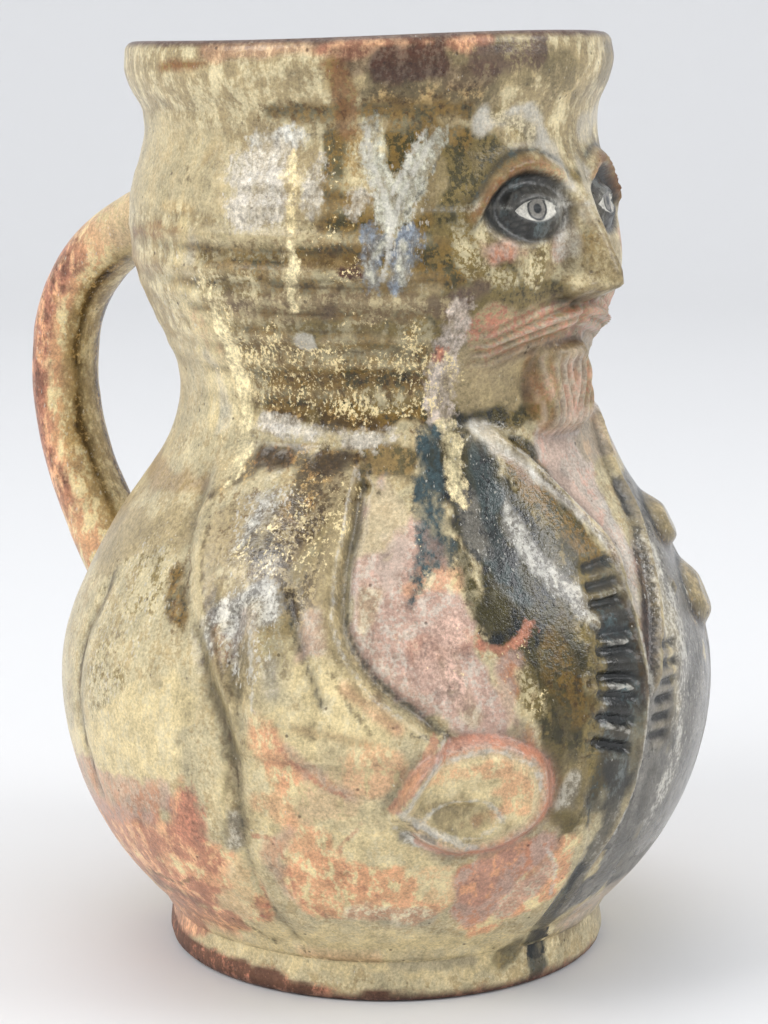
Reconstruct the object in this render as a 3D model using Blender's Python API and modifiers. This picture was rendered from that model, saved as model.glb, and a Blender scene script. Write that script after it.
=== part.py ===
"""Figural face pitcher: a hollow stoneware body with a face and a coat in relief, and a handle.

+Z up. The foot stands on z = 0 with its centre at the origin, the face looks to -Y and the handle
is at +Y. Named sizes are metres. The shape functions work in parts of the rim's height, 250 to
the whole, so a part is one millimetre on the pot as built. Angles round the body are degrees from
the face, positive towards -X.
"""

import math

import bmesh
import bpy
import numpy as np
from mathutils import Matrix

RIM_HEIGHT = 0.250
BELLY_RADIUS = 0.0903
WALL_THICKNESS = 0.0058
FLOOR_THICKNESS = 0.0090
FLOOR_FILLET = 0.0180
FOOT_CHAMFER = 0.0024

# The rim rises towards the face, the neck leans back, and the lip is pushed out for pouring.
RIM_RISE = 0.0020
NECK_LEAN = 0.0062
LIP_PUSH = 0.0022
LIP_HALF_ANGLE = 17.0

# Height of each relief over the plain wall.
NOSE_HEIGHT = 0.0125
BROW_HEIGHT = 0.0028
EYE_DEPTH = 0.0032
BEARD_HEIGHT = 0.0072
MOUSTACHE_HEIGHT = 0.0036
LAPEL_STEP = 0.0019
SLEEVE_HEIGHT = 0.0040
FIST_HEIGHT = 0.0036
BREAST_HEIGHT = 0.0038
NOTCH_DEPTH = 0.0016
GROOVE_DEPTH = 0.0012

# Strap of the handle: its section, where its middle meets the wall, and its reach from the axis.
HANDLE_THICKNESS = 0.0184
HANDLE_WIDTH = 0.0212
HANDLE_TOP = 0.1990
HANDLE_FOOT = 0.0872
HANDLE_REACH = 0.1194
ROOT_SINK = 0.55 * WALL_THICKNESS

PARTS = 250.0
UNIT = RIM_HEIGHT / PARTS

# Outline of the turned wall: height in parts, radius as a share of the belly's.
OUTLINE = ((4, 0.678), (8, 0.673), (11.5, 0.671), (15, 0.699), (20, 0.752), (30, 0.839), (40, 0.905),
           (50, 0.955), (60, 0.983), (72, 1.000), (82, 0.998), (92, 0.976), (102, 0.932), (112, 0.877),
           (122, 0.813), (130, 0.749), (138, 0.688), (146, 0.645), (154, 0.621), (162, 0.619),
           (170, 0.645), (180, 0.690), (190, 0.722), (200, 0.731), (210, 0.720), (218, 0.693),
           (226, 0.676), (232, 0.682), (238, 0.715), (243, 0.730), (247, 0.726))
FOOT_TOP = OUTLINE[0][0]
LIP_FOOT = OUTLINE[-1][0]

# Shape of the strap: share of the height between its roots, share of its reach, swelling.
STRAP = ((1.0, 0.0, 1.22), (0.995, 0.244, 1.08), (0.951, 0.485, 1.02), (0.867, 0.734, 1.02),
         (0.751, 0.920, 1.00), (0.589, 1.000, 1.00), (0.445, 0.971, 1.02), (0.302, 0.842, 1.05),
         (0.189, 0.655, 1.07), (0.104, 0.471, 1.10), (0.038, 0.278, 1.16), (0.0, 0.0, 1.26))

# Lines of the coat as (height, angle): the lapels' edges and a sleeve's two edges.
LAPEL = ((34, 12.5), (48, 11), (60, 9), (70, 8), (80, 7), (90, 6), (98, 5.5), (106, 4.5), (112, 3.5),
         (118, 2.5), (124, 3.5), (130, 6.5), (136, 10), (142, 14.5), (147, 19.5), (152, 26))
FAR_LAPEL = ((82, 6), (90, 3.5), (98, 0.5), (106, -3), (114, -6), (121, -9), (128, -13), (136, -16),
             (142, -20), (147, -23), (152, -27))
SLEEVE_FRONT = ((74, 36), (77, 41), (80, 45), (85, 49), (90, 53.5), (98, 58.5), (104, 61), (112, 62),
                (120, 62), (130, 61), (138, 60.5), (150, 60))
SLEEVE_BACK = ((8, 73), (20, 74), (32, 77), (50, 78), (62, 78), (76, 79), (86, 81.5), (92, 84),
               (100, 87), (108, 91), (116, 94), (126, 97), (133, 100), (146, 104))
SKIRT = ((6, 15), (16, 19), (28, 18.5), (40, 17.5), (52, 18.5), (60, 20))
FIST = (39.4, 64.2, 12.6, 15.0, 0.20)

# The far arm lies this many degrees further round than a mirror image of the near one.
FAR_ARM_TURN = 18.0

# Heights of the notches in the near ladder.
LADDER = (117.0, 112.2, 108.0, 100.8, 96.4, 90.0, 85.4, 79.6, 73.0)

COLUMNS = 288
FRONT_CROWDING = 0.42
ROW_STEP = 1.2
INNER_ROW_STEP = 6.0
BODY_TRIANGLES = 9100
STRAP_SIDES = 12
STRAP_RESOLUTION = 3


def smooth_step(low, high, value):
    """0 below low, 1 above high, eased between; low may be the larger."""
    t = np.clip((value - low) / (high - low), 0.0, 1.0)
    return t * t * (3.0 - 2.0 * t)


def bell(distance, width):
    """A bell curve of height one."""
    return np.exp(-(distance / width) ** 2)


def spline(at, places, values):
    """A smooth curve through the values, by cubic pieces with slopes from the neighbours."""
    places = np.asarray(places, float)
    values = np.asarray(values, float)
    slopes = np.gradient(values, places)
    k = np.clip(np.searchsorted(places, at) - 1, 0, len(places) - 2)
    span = places[k + 1] - places[k]
    t = np.clip((at - places[k]) / span, 0.0, 1.0)
    start = (2 * t ** 3 - 3 * t ** 2 + 1) * values[k] + (t ** 3 - 2 * t ** 2 + t) * span * slopes[k]
    return start + (3 * t ** 2 - 2 * t ** 3) * values[k + 1] + (t ** 3 - t ** 2) * span * slopes[k + 1]


def wall_radius(z):
    """Radius of the plain turned wall at a height, both in parts."""
    heights, shares = zip(*OUTLINE)
    return spline(np.asarray(z, float), heights, shares) * BELLY_RADIUS / UNIT


def neck_lean(z):
    """How far the neck leans back at a height, in parts."""
    share = smooth_step(138, 193, z) * (0.62 + 0.38 * smooth_step(170, 250, z))
    return share * NECK_LEAN / UNIT


def stroke(angle, z, points, width, height):
    """A rounded ridge, or a groove when height is negative, along a line of (angle, height) points."""
    nearest = np.full(np.shape(z), 1e9)
    for (a0, h0), (a1, h1) in zip(points, points[1:]):
        arc = math.radians(1.0) * float(wall_radius((h0 + h1) / 2.0))
        ax = (angle - a0) * arc
        az = z - h0
        bx = (a1 - a0) * arc
        bz = h1 - h0
        t = np.clip((ax * bx + az * bz) / (bx * bx + bz * bz), 0.0, 1.0)
        nearest = np.minimum(nearest, np.hypot(ax - t * bx, az - t * bz))
    return height * bell(nearest, width)


def side_of(angle, z, line):
    """Distance from a line of (height, angle) points, positive at larger angles."""
    heights, angles = zip(*line)
    edge = spline(z, heights, angles)
    slope = (spline(z + 1.0, heights, angles) - spline(z - 1.0, heights, angles)) / 2.0
    arc = math.radians(1.0) * wall_radius(z)
    return (angle - edge) * arc / np.hypot(1.0, slope * arc)


def oval(angle, z, middle_angle, middle, half_angle, half, turn=0.0):
    """0 at the middle of an oval, 1 on its outline."""
    u = (angle - middle_angle) / half_angle
    v = (z - middle) / half
    c = math.cos(turn)
    s = math.sin(turn)
    return np.hypot(c * u + s * v, c * v - s * u)


def face_relief(angle, z):
    """The face: equal thirds for brow, nose and chin, five eye widths wide on the front of the neck."""
    chin = 150.0
    third = 34.0
    eye = 16.5
    nose_base = chin + third
    brow = nose_base + third
    mouth = nose_base - third / 3.0
    eye_level = brow - 0.30 * third
    x = np.abs(angle) * math.radians(1.0) * float(wall_radius(eye_level)) * 0.97

    mask = bell(x, 30.0) * smooth_step(chin + 4.0, nose_base, z) * smooth_step(brow + 30.0, brow + 8.0, z)
    cheek = bell(x - 26.0, 11.0) * bell(z - nose_base - 4.0, 12.0)
    relief = 1.8 * mask + 2.0 * cheek

    # Eye hollow, eyeball and lids.
    hollow = np.hypot((x - 1.10 * eye) / (0.84 * eye), (z - eye_level) / (0.54 * eye))
    relief -= EYE_DEPTH / UNIT * smooth_step(1.15, 0.55, hollow)
    ball = np.hypot((x - eye) / (0.55 * eye), (z - eye_level + 0.5) / (0.40 * eye))
    relief += 3.4 * np.sqrt(np.clip(1.0 - ball ** 2, 0.0, 1.0))
    relief += 0.9 * bell(np.abs(ball - 1.0) * 0.45 * eye, 1.1)

    # Brow roll, arched over the hollow.
    t = np.clip((x - 4.5) / 30.0, 0.0, 1.0)
    arch = brow + 7.0 * np.sin(math.pi * (0.10 + 0.80 * t)) - 5.0 - 8.5 * t ** 3
    ends = smooth_step(3.5, 7.5, x) * smooth_step(36.5, 32.0, x)
    relief += BROW_HEIGHT / UNIT * bell(z - arch, 2.7) * ends

    # Nose: bridge, tip and wings.
    levels = (-6.0, -2.4, -0.8, 0.8, 3.6, 7.5, 13.5, 21.5, 29.0, 35.0, 40.0)
    length = (0.0, 0.0, 0.10, 0.55, 1.0, 0.93, 0.66, 0.34, 0.14, 0.05, 0.0)
    half = (6.0, 6.4, 6.6, 6.8, 6.6, 5.8, 4.8, 4.2, 5.0, 6.2, 7.0)
    over = z - nose_base
    relief += NOSE_HEIGHT / UNIT * np.interp(over, levels, length) * bell(x, np.interp(over, levels, half))
    relief += 4.2 * bell(x - 7.4, 2.7) * bell(over - 3.6, 3.0)

    # Moustache, lips, chin and beard.
    sweep = -4.2 - 0.4 * (x / 5.0) ** 1.6 + 2.6 * smooth_step(28.0, 36.0, x)
    hair = np.interp(x, (0.0, 2.0, 10.0, 24.0, 36.0), (0.6, 1.0, 1.0, 0.55, 0.0))
    relief += MOUSTACHE_HEIGHT / UNIT * hair * bell(over - sweep, 3.4 - 1.4 * smooth_step(8.0, 34.0, x))
    relief += 2.2 * bell(x, 9.0) * bell(z - mouth + 3.0, 2.2) - 1.0 * bell(x, 10.0) * bell(z - mouth, 1.0)
    half_beard = np.interp(z, (147, 153, 164, 172), (10.5, 12.5, 12.0, 8.0))
    depth = spline(z, (144, 147.5, 151, 157, 164, 170, 176), (0.0, 0.12, 0.70, 1.0, 0.90, 0.48, 0.0))
    relief += BEARD_HEIGHT / UNIT * depth * smooth_step(half_beard + 3.4, half_beard - 4.0, x)
    return relief


def sleeve_relief(angle, z):
    """A bent arm from the shoulder to the cuff, with the fist in front of it."""
    front = side_of(angle, z, SLEEVE_FRONT)
    back = -side_of(angle, z, SLEEVE_BACK)
    low_edge = 56.0 + 0.30 * (angle - 52.0)
    arm = smooth_step(-0.6, 3.4, front) * smooth_step(-1.0, 6.0, back)
    arm *= smooth_step(149, 136, z) * smooth_step(low_edge - 4.0, low_edge + 12.0, z)
    arm *= smooth_step(45.5, 49.5, angle + (z - 72.0) * 0.30)
    relief = SLEEVE_HEIGHT / UNIT * arm * (0.62 + 0.38 * bell(front - 10.0, 20.0))
    groove = GROOVE_DEPTH / UNIT
    relief -= groove * bell(front + 1.2, 2.2) * smooth_step(146, 136, z) * smooth_step(77.5, 83.0, z)

    # Tail seam, folds and the back seam.
    seam = smooth_step(8, 20, z) * smooth_step(140, 128, z)
    relief -= groove * bell(back + 1.4, 2.4) * seam
    relief += 0.9 * bell(back - 3.4, 2.6) * seam * smooth_step(70, 100, z)
    relief += stroke(angle, z, ((71.5, 113), (68, 102), (64, 89)), 2.2, -0.8 * groove)
    relief += stroke(angle, z, ((76, 104), (74, 96), (72.5, 88)), 2.6, 0.8)
    relief += stroke(angle, z, ((119, 106), (120, 88), (119, 70), (116, 52)), 2.4, -0.8 * groove)

    # Cuff and fist.
    relief += stroke(angle, z, ((45.6, 80), (47.2, 75), (49.6, 69), (51.8, 62.5)), 2.0, 2.2)
    fist = oval(angle, z, *FIST)
    palm = 1.0 - 0.35 * smooth_step(0.75, 0.10, fist)
    relief += FIST_HEIGHT / UNIT * smooth_step(1.08, 0.86, fist) * palm
    relief += 0.9 * bell(fist - 0.62, 0.10) * smooth_step(44.0, 38.0, angle)
    relief += stroke(angle, z, ((42, 50.6), (47.6, 54.6), (52.4, 60)), 1.9, 1.6)
    relief += stroke(angle, z, ((43, 53.6), (47.6, 57.8), (50.2, 61.6)), 1.1, -0.7 * groove)
    for finger in range(3):
        low = 58.0 + 4.6 * finger
        crease = ((31.0 - 0.6 * finger, low), (35.5, low + 1.2), (38.6, low + 0.4))
        relief += stroke(angle, z, crease, 1.0, -0.7 * groove)
    return relief


def coat_relief(angle, z):
    """Lapels, skirt, the two ladders of notches, the ornament on the far breast and both arms."""
    body = smooth_step(154, 147, z) * smooth_step(12, 26, z)
    near = side_of(angle, z, LAPEL)
    far = -side_of(angle, z, FAR_LAPEL)
    near_panel = smooth_step(-0.6, 1.0, near) * smooth_step(30.0, 4.0, near) * smooth_step(34, 50, z)
    far_panel = smooth_step(-0.6, 1.0, far) * smooth_step(26.0, 4.0, far) * smooth_step(80, 88, z)
    relief = LAPEL_STEP / UNIT * body * (near_panel + far_panel)
    relief += 0.7 * body * bell(near - 1.2, 1.4) * smooth_step(40, 60, z)
    relief += 0.7 * body * bell(far - 1.2, 1.4) * smooth_step(82, 90, z)

    # Edge of the skirt over the channel that runs down the front.
    flap = side_of(angle, z, SKIRT)
    low = smooth_step(66, 58, z) * smooth_step(6, 14, z)
    relief += 1.3 * low * smooth_step(-1.2, 1.2, flap) * smooth_step(22.0, 4.0, flap)

    notch = NOTCH_DEPTH / UNIT
    for height in LADDER:
        down = LADDER[0] - height
        start = 6.2 + 0.12 * down
        tilt = 0.5 - 0.045 * down
        relief += stroke(angle, z, ((start, height + tilt), (start + 6.8, height - tilt)), 1.5, -notch)
    for step in range(6):
        top = 94.5 - 4.6 * step
        start = 0.9 * step - 4.4
        relief += stroke(angle, z, ((start, top), (start + 4.2, top + 0.4)), 1.2, -0.8 * notch)

    breast = BREAST_HEIGHT / UNIT
    relief += breast * smooth_step(1.08, 0.45, oval(angle, z, -25.5, 121.0, 8.5, 8.0, -0.35))
    relief += 0.85 * breast * smooth_step(1.08, 0.45, oval(angle, z, -28.0, 100.5, 9.0, 9.5, -0.45))
    relief += sleeve_relief(angle, z) + sleeve_relief(-angle - FAR_ARM_TURN, z)

    # Shoulder edge under the neck, open where the chest shows and smoothed away behind.
    edge = smooth_step(18.0, 28.0, np.abs(angle)) * smooth_step(125.0, 100.0, np.abs(angle))
    relief += 0.9 * bell(z - 150.5, 1.8) * edge
    return relief * smooth_step(156, 148, z)


def profile_points():
    """Half outline in parts, from the middle of the floor up the inside and down the outside."""
    wall = WALL_THICKNESS / UNIT
    floor = FLOOR_THICKNESS / UNIT
    fillet = FLOOR_FILLET / UNIT
    chamfer = FOOT_CHAMFER / UNIT
    heights = np.arange(LIP_FOOT, FOOT_TOP, -ROW_STEP)
    outside = np.stack([wall_radius(heights), heights], 1)

    lip_radius = float(wall_radius(LIP_FOOT))
    turn = np.linspace(math.pi, 0.0, 9)[1:-1]
    lip = np.stack([lip_radius - wall / 2.0 + wall / 2.0 * np.cos(turn),
                    LIP_FOOT + (PARTS - LIP_FOOT) * np.sin(turn)], 1)

    inner_low = floor + fillet
    inner_heights = np.arange(inner_low, LIP_FOOT, INNER_ROW_STEP)
    slope = np.gradient(wall_radius(inner_heights), inner_heights)
    inner = wall_radius(inner_heights) - wall * (1.0 + 0.45 * np.minimum(np.abs(slope), 1.2))
    inside = np.stack([inner, inner_heights], 1)
    reach = inner[0] - 0.55 * fillet
    bend = np.linspace(0.0, math.pi / 2.0, 6)[1:-1]
    corner = np.stack([reach + (inner[0] - reach) * np.sin(bend), inner_low - fillet * np.cos(bend)], 1)
    bottom = np.array([[0.0, floor], [reach * 0.5, floor], [reach, floor]])

    foot = float(wall_radius(FOOT_TOP))
    edge = np.array([[foot, 1.3 * chamfer], [foot - 0.25 * chamfer, 0.4 * chamfer],
                     [foot - chamfer, 0.0], [0.5 * foot, 0.0], [0.0, 0.0]])
    return np.concatenate([bottom, corner, inside, lip, outside, edge])


def in_collection(name, mesh, collection):
    """Put a mesh in a collection as a new object."""
    obj = bpy.data.objects.new(name, mesh)
    collection.objects.link(obj)
    return obj


def apply_modifiers(obj):
    """Replace an object's mesh with the evaluated one."""
    graph = bpy.context.evaluated_depsgraph_get()
    mesh = bpy.data.meshes.new_from_object(obj.evaluated_get(graph), depsgraph=graph)
    obj.modifiers.clear()
    old = obj.data
    obj.data = mesh
    bpy.data.meshes.remove(old)


def close_mesh(mesh, distance):
    """Merge doubled vertices and turn every face outwards."""
    work = bmesh.new()
    work.from_mesh(mesh)
    bmesh.ops.remove_doubles(work, verts=work.verts, dist=distance)
    bmesh.ops.recalc_face_normals(work, faces=work.faces)
    work.to_mesh(mesh)
    work.free()


def turned_body(collection):
    """The plain hollow body in parts: the half outline turned about Z."""
    points = profile_points()
    mesh = bpy.data.meshes.new("pitcher")
    mesh.from_pydata([(r, 0.0, z) for r, z in points], [(k, k + 1) for k in range(len(points) - 1)], [])
    obj = in_collection("pitcher", mesh, collection)
    screw = obj.modifiers.new("turn", "SCREW")
    screw.axis = "Z"
    screw.angle = 2.0 * math.pi
    screw.steps = COLUMNS
    screw.render_steps = COLUMNS
    screw.use_merge_vertices = True
    screw.merge_threshold = 0.0001
    apply_modifiers(obj)
    close_mesh(obj.data, 0.001)
    return obj


def add_relief(obj):
    """Crowd the columns towards the face, raise the relief and lean the neck, all in parts."""
    flat = np.empty(len(obj.data.vertices) * 3)
    obj.data.vertices.foreach_get("co", flat)
    co = flat.reshape(-1, 3)
    radius = np.hypot(co[:, 0], co[:, 1])
    z = co[:, 2].copy()
    even = np.arctan2(-co[:, 0], -co[:, 1])
    turn = even - FRONT_CROWDING * np.sin(even)
    angle = np.degrees(turn)

    skin = 0.3 * WALL_THICKNESS / UNIT
    on_wall = (radius > wall_radius(z) - skin) & (z > FOOT_TOP) & (z < LIP_FOOT - 0.5)
    relief = face_relief(angle, z) + coat_relief(angle, z)
    high = smooth_step(222, 244, z)
    radius = radius + np.where(on_wall, relief, 0.0) + LIP_PUSH / UNIT * bell(angle, LIP_HALF_ANGLE) * high
    top = z + RIM_RISE / UNIT * np.cos(turn) * high
    co = np.stack([-radius * np.sin(turn), neck_lean(z) - radius * np.cos(turn), top], 1)
    obj.data.vertices.foreach_set("co", co.ravel())
    obj.data.update()


def thin_out(obj):
    """Collapse the fine mesh to its budget where it bends least; parts become metres."""
    thin = obj.modifiers.new("thin", "DECIMATE")
    thin.ratio = BODY_TRIANGLES / sum(len(face.vertices) - 2 for face in obj.data.polygons)
    apply_modifiers(obj)
    obj.data.transform(Matrix.Scale(UNIT, 4))
    for vertex in obj.data.vertices:
        if vertex.co.z < 0.1 * FOOT_CHAMFER:
            vertex.co.z = 0.0


def root_reach(height):
    """Distance from the axis at which the strap ends, sunk in the back wall at a height in metres."""
    z = height / UNIT
    return float(wall_radius(z) + neck_lean(z)) * UNIT - ROOT_SINK


def handle_strap(collection):
    """The strap: a round tube along its path, widened across to an oval."""
    curve = bpy.data.curves.new("strap", "CURVE")
    curve.dimensions = "3D"
    curve.bevel_depth = HANDLE_THICKNESS / 2.0
    curve.bevel_resolution = STRAP_SIDES // 4
    curve.use_fill_caps = True
    curve.resolution_u = STRAP_RESOLUTION
    path = curve.splines.new("BEZIER")
    path.bezier_points.add(len(STRAP) - 1)
    upper = root_reach(HANDLE_TOP)
    lower = root_reach(HANDLE_FOOT)
    for point, (rise, out, swelling) in zip(path.bezier_points, STRAP):
        near = lower + (upper - lower) * rise
        point.co = (0.0, near + (HANDLE_REACH - near) * out, HANDLE_FOOT + (HANDLE_TOP - HANDLE_FOOT) * rise)
        point.radius = swelling
        point.handle_left_type = "AUTO"
        point.handle_right_type = "AUTO"
    source = bpy.data.objects.new("strap_path", curve)
    collection.objects.link(source)
    source.scale.x = HANDLE_WIDTH / HANDLE_THICKNESS
    bpy.context.view_layer.update()
    graph = bpy.context.evaluated_depsgraph_get()
    mesh = bpy.data.meshes.new_from_object(source.evaluated_get(graph), depsgraph=graph)
    mesh.transform(source.matrix_world)
    bpy.data.objects.remove(source)
    close_mesh(mesh, 0.00001)
    return in_collection("strap", mesh, collection)


def stoneware():
    """Glazed stoneware for the whole pot."""
    material = bpy.data.materials.new("glazed_stoneware")
    material.use_nodes = True
    shader = material.node_tree.nodes["Principled BSDF"]
    shader.inputs["Base Color"].default_value = (0.50, 0.41, 0.24, 1.0)
    shader.inputs["Roughness"].default_value = 0.32
    return material


def build():
    """Clear the scene and build the pitcher."""
    for obj in list(bpy.data.objects):
        bpy.data.objects.remove(obj)
    pieces = bpy.data.collections.new("face_pitcher")
    cutters = bpy.data.collections.new("joined_shapes")
    bpy.context.scene.collection.children.link(pieces)
    bpy.context.scene.collection.children.link(cutters)

    body = turned_body(pieces)
    add_relief(body)
    thin_out(body)
    strap = handle_strap(cutters)
    strap.hide_render = True
    strap.display_type = "WIRE"
    join = body.modifiers.new("join", "BOOLEAN")
    join.operation = "UNION"
    join.solver = "EXACT"
    join.object = strap

    body.data.materials.append(stoneware())
    body.data.shade_smooth()
    body.data.set_sharp_from_angle(angle=math.radians(40.0))


build()
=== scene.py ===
"""Figural face pitcher: the glazed stoneware body and its handle, on a pale studio floor.

Shapes are worked out in millimetres from the sizes below and written into the meshes in metres.
Angles round the body are degrees from the face, positive towards -X. The face looks to -Y.
"""

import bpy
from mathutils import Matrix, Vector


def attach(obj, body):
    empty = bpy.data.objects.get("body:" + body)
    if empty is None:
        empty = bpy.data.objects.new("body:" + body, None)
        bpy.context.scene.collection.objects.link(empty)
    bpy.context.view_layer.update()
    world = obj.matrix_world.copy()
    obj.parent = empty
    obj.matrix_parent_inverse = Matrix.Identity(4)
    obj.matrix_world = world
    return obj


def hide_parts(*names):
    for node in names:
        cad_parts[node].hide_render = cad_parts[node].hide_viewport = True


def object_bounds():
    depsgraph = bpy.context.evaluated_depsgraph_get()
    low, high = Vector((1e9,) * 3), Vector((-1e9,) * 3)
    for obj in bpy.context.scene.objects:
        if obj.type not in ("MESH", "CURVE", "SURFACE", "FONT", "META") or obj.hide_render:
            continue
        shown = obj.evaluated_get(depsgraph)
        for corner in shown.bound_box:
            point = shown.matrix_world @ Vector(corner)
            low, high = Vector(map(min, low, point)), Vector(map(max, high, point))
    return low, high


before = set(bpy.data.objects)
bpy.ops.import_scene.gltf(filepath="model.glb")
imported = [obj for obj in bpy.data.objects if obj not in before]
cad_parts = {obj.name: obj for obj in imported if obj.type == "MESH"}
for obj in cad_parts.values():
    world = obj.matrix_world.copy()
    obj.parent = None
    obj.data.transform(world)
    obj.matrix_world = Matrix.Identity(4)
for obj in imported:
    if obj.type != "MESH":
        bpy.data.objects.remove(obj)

import copy
import functools
import math
from types import SimpleNamespace

import bpy
import numpy as np

bl_info = {
    "name": "Figural face pitcher",
    "version": (1, 0, 0),
    "blender": (4, 5, 0),
    "location": "3D View > Sidebar > Pitcher",
    "description": "Models a glazed stoneware face pitcher, its stage and its studio light",
    "category": "Add Mesh",
}

MM = 0.001
CAD_LOW, CAD_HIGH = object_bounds()

# How much higher the rim stands over the face than at its sides, in mm.
RIM_RISE = 2.0

# Outline of the turned wall: height in mm, radius as a share of the belly's.
OUTLINE = ((4, 0.678), (8, 0.673), (11.5, 0.671), (15, 0.699), (20, 0.752), (30, 0.839), (40, 0.905),
           (50, 0.955), (60, 0.983), (72, 1.000), (82, 0.998), (92, 0.976), (102, 0.932), (112, 0.877),
           (122, 0.813), (130, 0.749), (138, 0.688), (146, 0.645), (154, 0.621), (162, 0.619),
           (170, 0.645), (180, 0.690), (190, 0.722), (200, 0.731), (210, 0.720), (218, 0.693),
           (226, 0.676), (232, 0.682), (238, 0.715), (243, 0.730), (247, 0.726))
FOOT_TOP = OUTLINE[0][0]
LIP_FOOT = OUTLINE[-1][0]

# Shape of the strap: share of the height between its roots, share of its reach, swelling.
STRAP = ((1.0, 0.0, 1.22), (0.995, 0.244, 1.08), (0.951, 0.485, 1.02), (0.867, 0.734, 1.02),
         (0.751, 0.920, 1.00), (0.589, 1.000, 1.00), (0.445, 0.971, 1.02), (0.302, 0.842, 1.05),
         (0.189, 0.655, 1.07), (0.104, 0.471, 1.10), (0.038, 0.278, 1.16), (0.0, 0.0, 1.26))

# Lines of the coat as (height, angle): the lapels' edges, a sleeve's two edges and the skirt.
LAPEL = ((34, 12.5), (48, 11), (60, 9), (70, 8), (80, 7), (90, 6), (98, 5.5), (106, 4.5), (112, 3.5),
         (118, 2.5), (124, 3.5), (130, 6.5), (136, 10), (142, 14.5), (147, 19.5), (152, 26))
FAR_LAPEL = ((82, 6), (90, 3.5), (98, 0.5), (106, -3), (114, -6), (121, -9), (128, -13), (136, -16),
             (142, -20), (147, -23), (152, -27))
SLEEVE_FRONT = ((74, 36), (77, 41), (80, 45), (85, 49), (90, 53.5), (98, 58.5), (104, 61), (112, 62),
                (120, 62), (130, 61), (138, 60.5), (150, 60))
SLEEVE_BACK = ((8, 73), (20, 74), (32, 77), (50, 78), (62, 78), (76, 79), (86, 81.5), (92, 84),
               (100, 87), (108, 91), (116, 94), (126, 97), (133, 100), (146, 104))
SKIRT = ((6, 15), (16, 19), (28, 18.5), (40, 17.5), (52, 18.5), (60, 20))
FIST = (39.4, 64.2, 12.6, 15, 0.20)
PALM = (42, 59, 6, 5, 0.60)
THUMB = (49.2, 54, 3.4, 2.8, 0.60)

# The far arm lies this many degrees further round than a mirror image of the near one.
FAR_ARM_TURN = 18

# Ridges of the sleeve, the cuff and the thumb: rise, half width in mm and line of angle/height.
FOLDS = """
1.5 2.6 77/110 75/98 73.5/84
1.4 2.4 86/92 91/106 95/118 98/129
2.2 1.7 45.6/80 47.2/75 49.6/69 51.8/62.5
1.8 1.7 42/50.6 47.6/54.6 52.4/60
"""

# Grooves beside them: depth as a share of the coat's seams, half width in mm and line.
SEAMS = """
1.2 1.6 71.5/113 68/102 64/89
1 1.6 80.5/108 79/96 77/82
0.6 1.8 84/99 86.5/113
0.8 2.4 119/106 120/88 119/70 116/52
0.5 1 44.6/76 46.6/70 48.6/63.5
0.8 0.9 43/53.6 47.6/57.8 50.2/61.6
0.75 2 38/56.5 41.5/60 45/63
"""

# Heights of the notches in the near ladder.
LADDER = (117, 112.2, 108, 100.8, 96.4, 90, 85.4, 79.6, 73)

# Fineness of the meshes.
COLUMNS = 300
FINE_COLUMNS_AT = 35
CROWDING = 0.55
ROW_STEP = 0.88
INNER_ROW_STEP = 9
STRAP_ROWS = 220
STRAP_COLUMNS = 72

# How far the strap's ends sink into the wall, as a share of its thickness.
STRAP_SINK = 0.55

# Half width in mm over which torn glaze edges ease, and how far the blur of the relief spreads.
SOFT_EDGE = 0.9
BLUR_ROUNDS = 10

# How far the studio floor lies below the foot, in mm.
FLOOR_GAP = 0.2

# Roughness of plain glaze; the glossy areas take from it and bare clay adds to it.
ROUGHNESS = 0.29

# What stands for far outside every pool, and for the least that a line field goes to, in mm.
FAR_OUTSIDE = -40.0
OFF_LINE = -8.0

# The far breast's ornament: two lobes as middle angle, height, half angle, half height and turn.
BREAST_LOBES = ((-25.5, 121, 8.5, 8, -0.35), (-28, 100.5, 9, 9.5, -0.45))

# Thin lines of glaze: kind, half width in mm and line of angle/height.
# The pale spot at 71.5/174.6 is a painted highlight.
THIN_LINES = """
red 1.2 46.8/80 48.4/75 50.8/69 53/62.5
pale 0.8 45.2/79.5 46.8/74.5 49.2/68.5 51.2/62.5
pale 0.8 52/62 48.6/58.5 44/54 40/51
pale 0.6 52.6/57 49/52 45/49.6
dark 0.5 52/61 48/57 43.5/52.6
dark 0.5 50.2/82 46/80 42.6/78
dark 0.2 71.5/112 70/106 67.5/99 64.5/90 62.6/84
brown 0.3 80.5/108 79/96 77.6/84
pale 0.6 77/106 75.6/96 74.4/86
brown 0.5 84/99 86.5/113
brown 0.8 118/112 119.5/96 120/84 118.6/66 115/50
brown 0.4 116.5/110 117.8/92 117/70
brown 0.5 56/82 60/90 63/97
red 0.5 72/81 68.5/74 64/68 60.5/66
red 0.5 77/52 73/52 71.5/44 71/34 66/28
red 0.5 58/58 62/50 60/40 54/34
red 0.6 97/52 104/42 101/30 92/20
brown 0.5 88/22 82/16 80/12
brown 0.6 94/34 100/30 112/30
pale 2.6 71.4/174.6 71.8/174.6
red 0.9 28.6/105.6 30.4/102.4 34/100.2 38.5/101.6
brown 0.5 100/214 102.5/218
pale 0.5 26/48 22.5/40 21/32
pale 0.7 54/228 53.5/220 50.6/212 49.5/204 50.5/197 52/191
pale 0.6 39/225 43/219 47.5/211 49/204
pale 0.5 41/227 44.5/221 49/212
pale 0.5 55.5/224 54.5/217 52/210
dark 0.1 37.5/221 42/214 46.6/207
dark 0.1 56.5/221 55/212 53/205
"""

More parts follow.
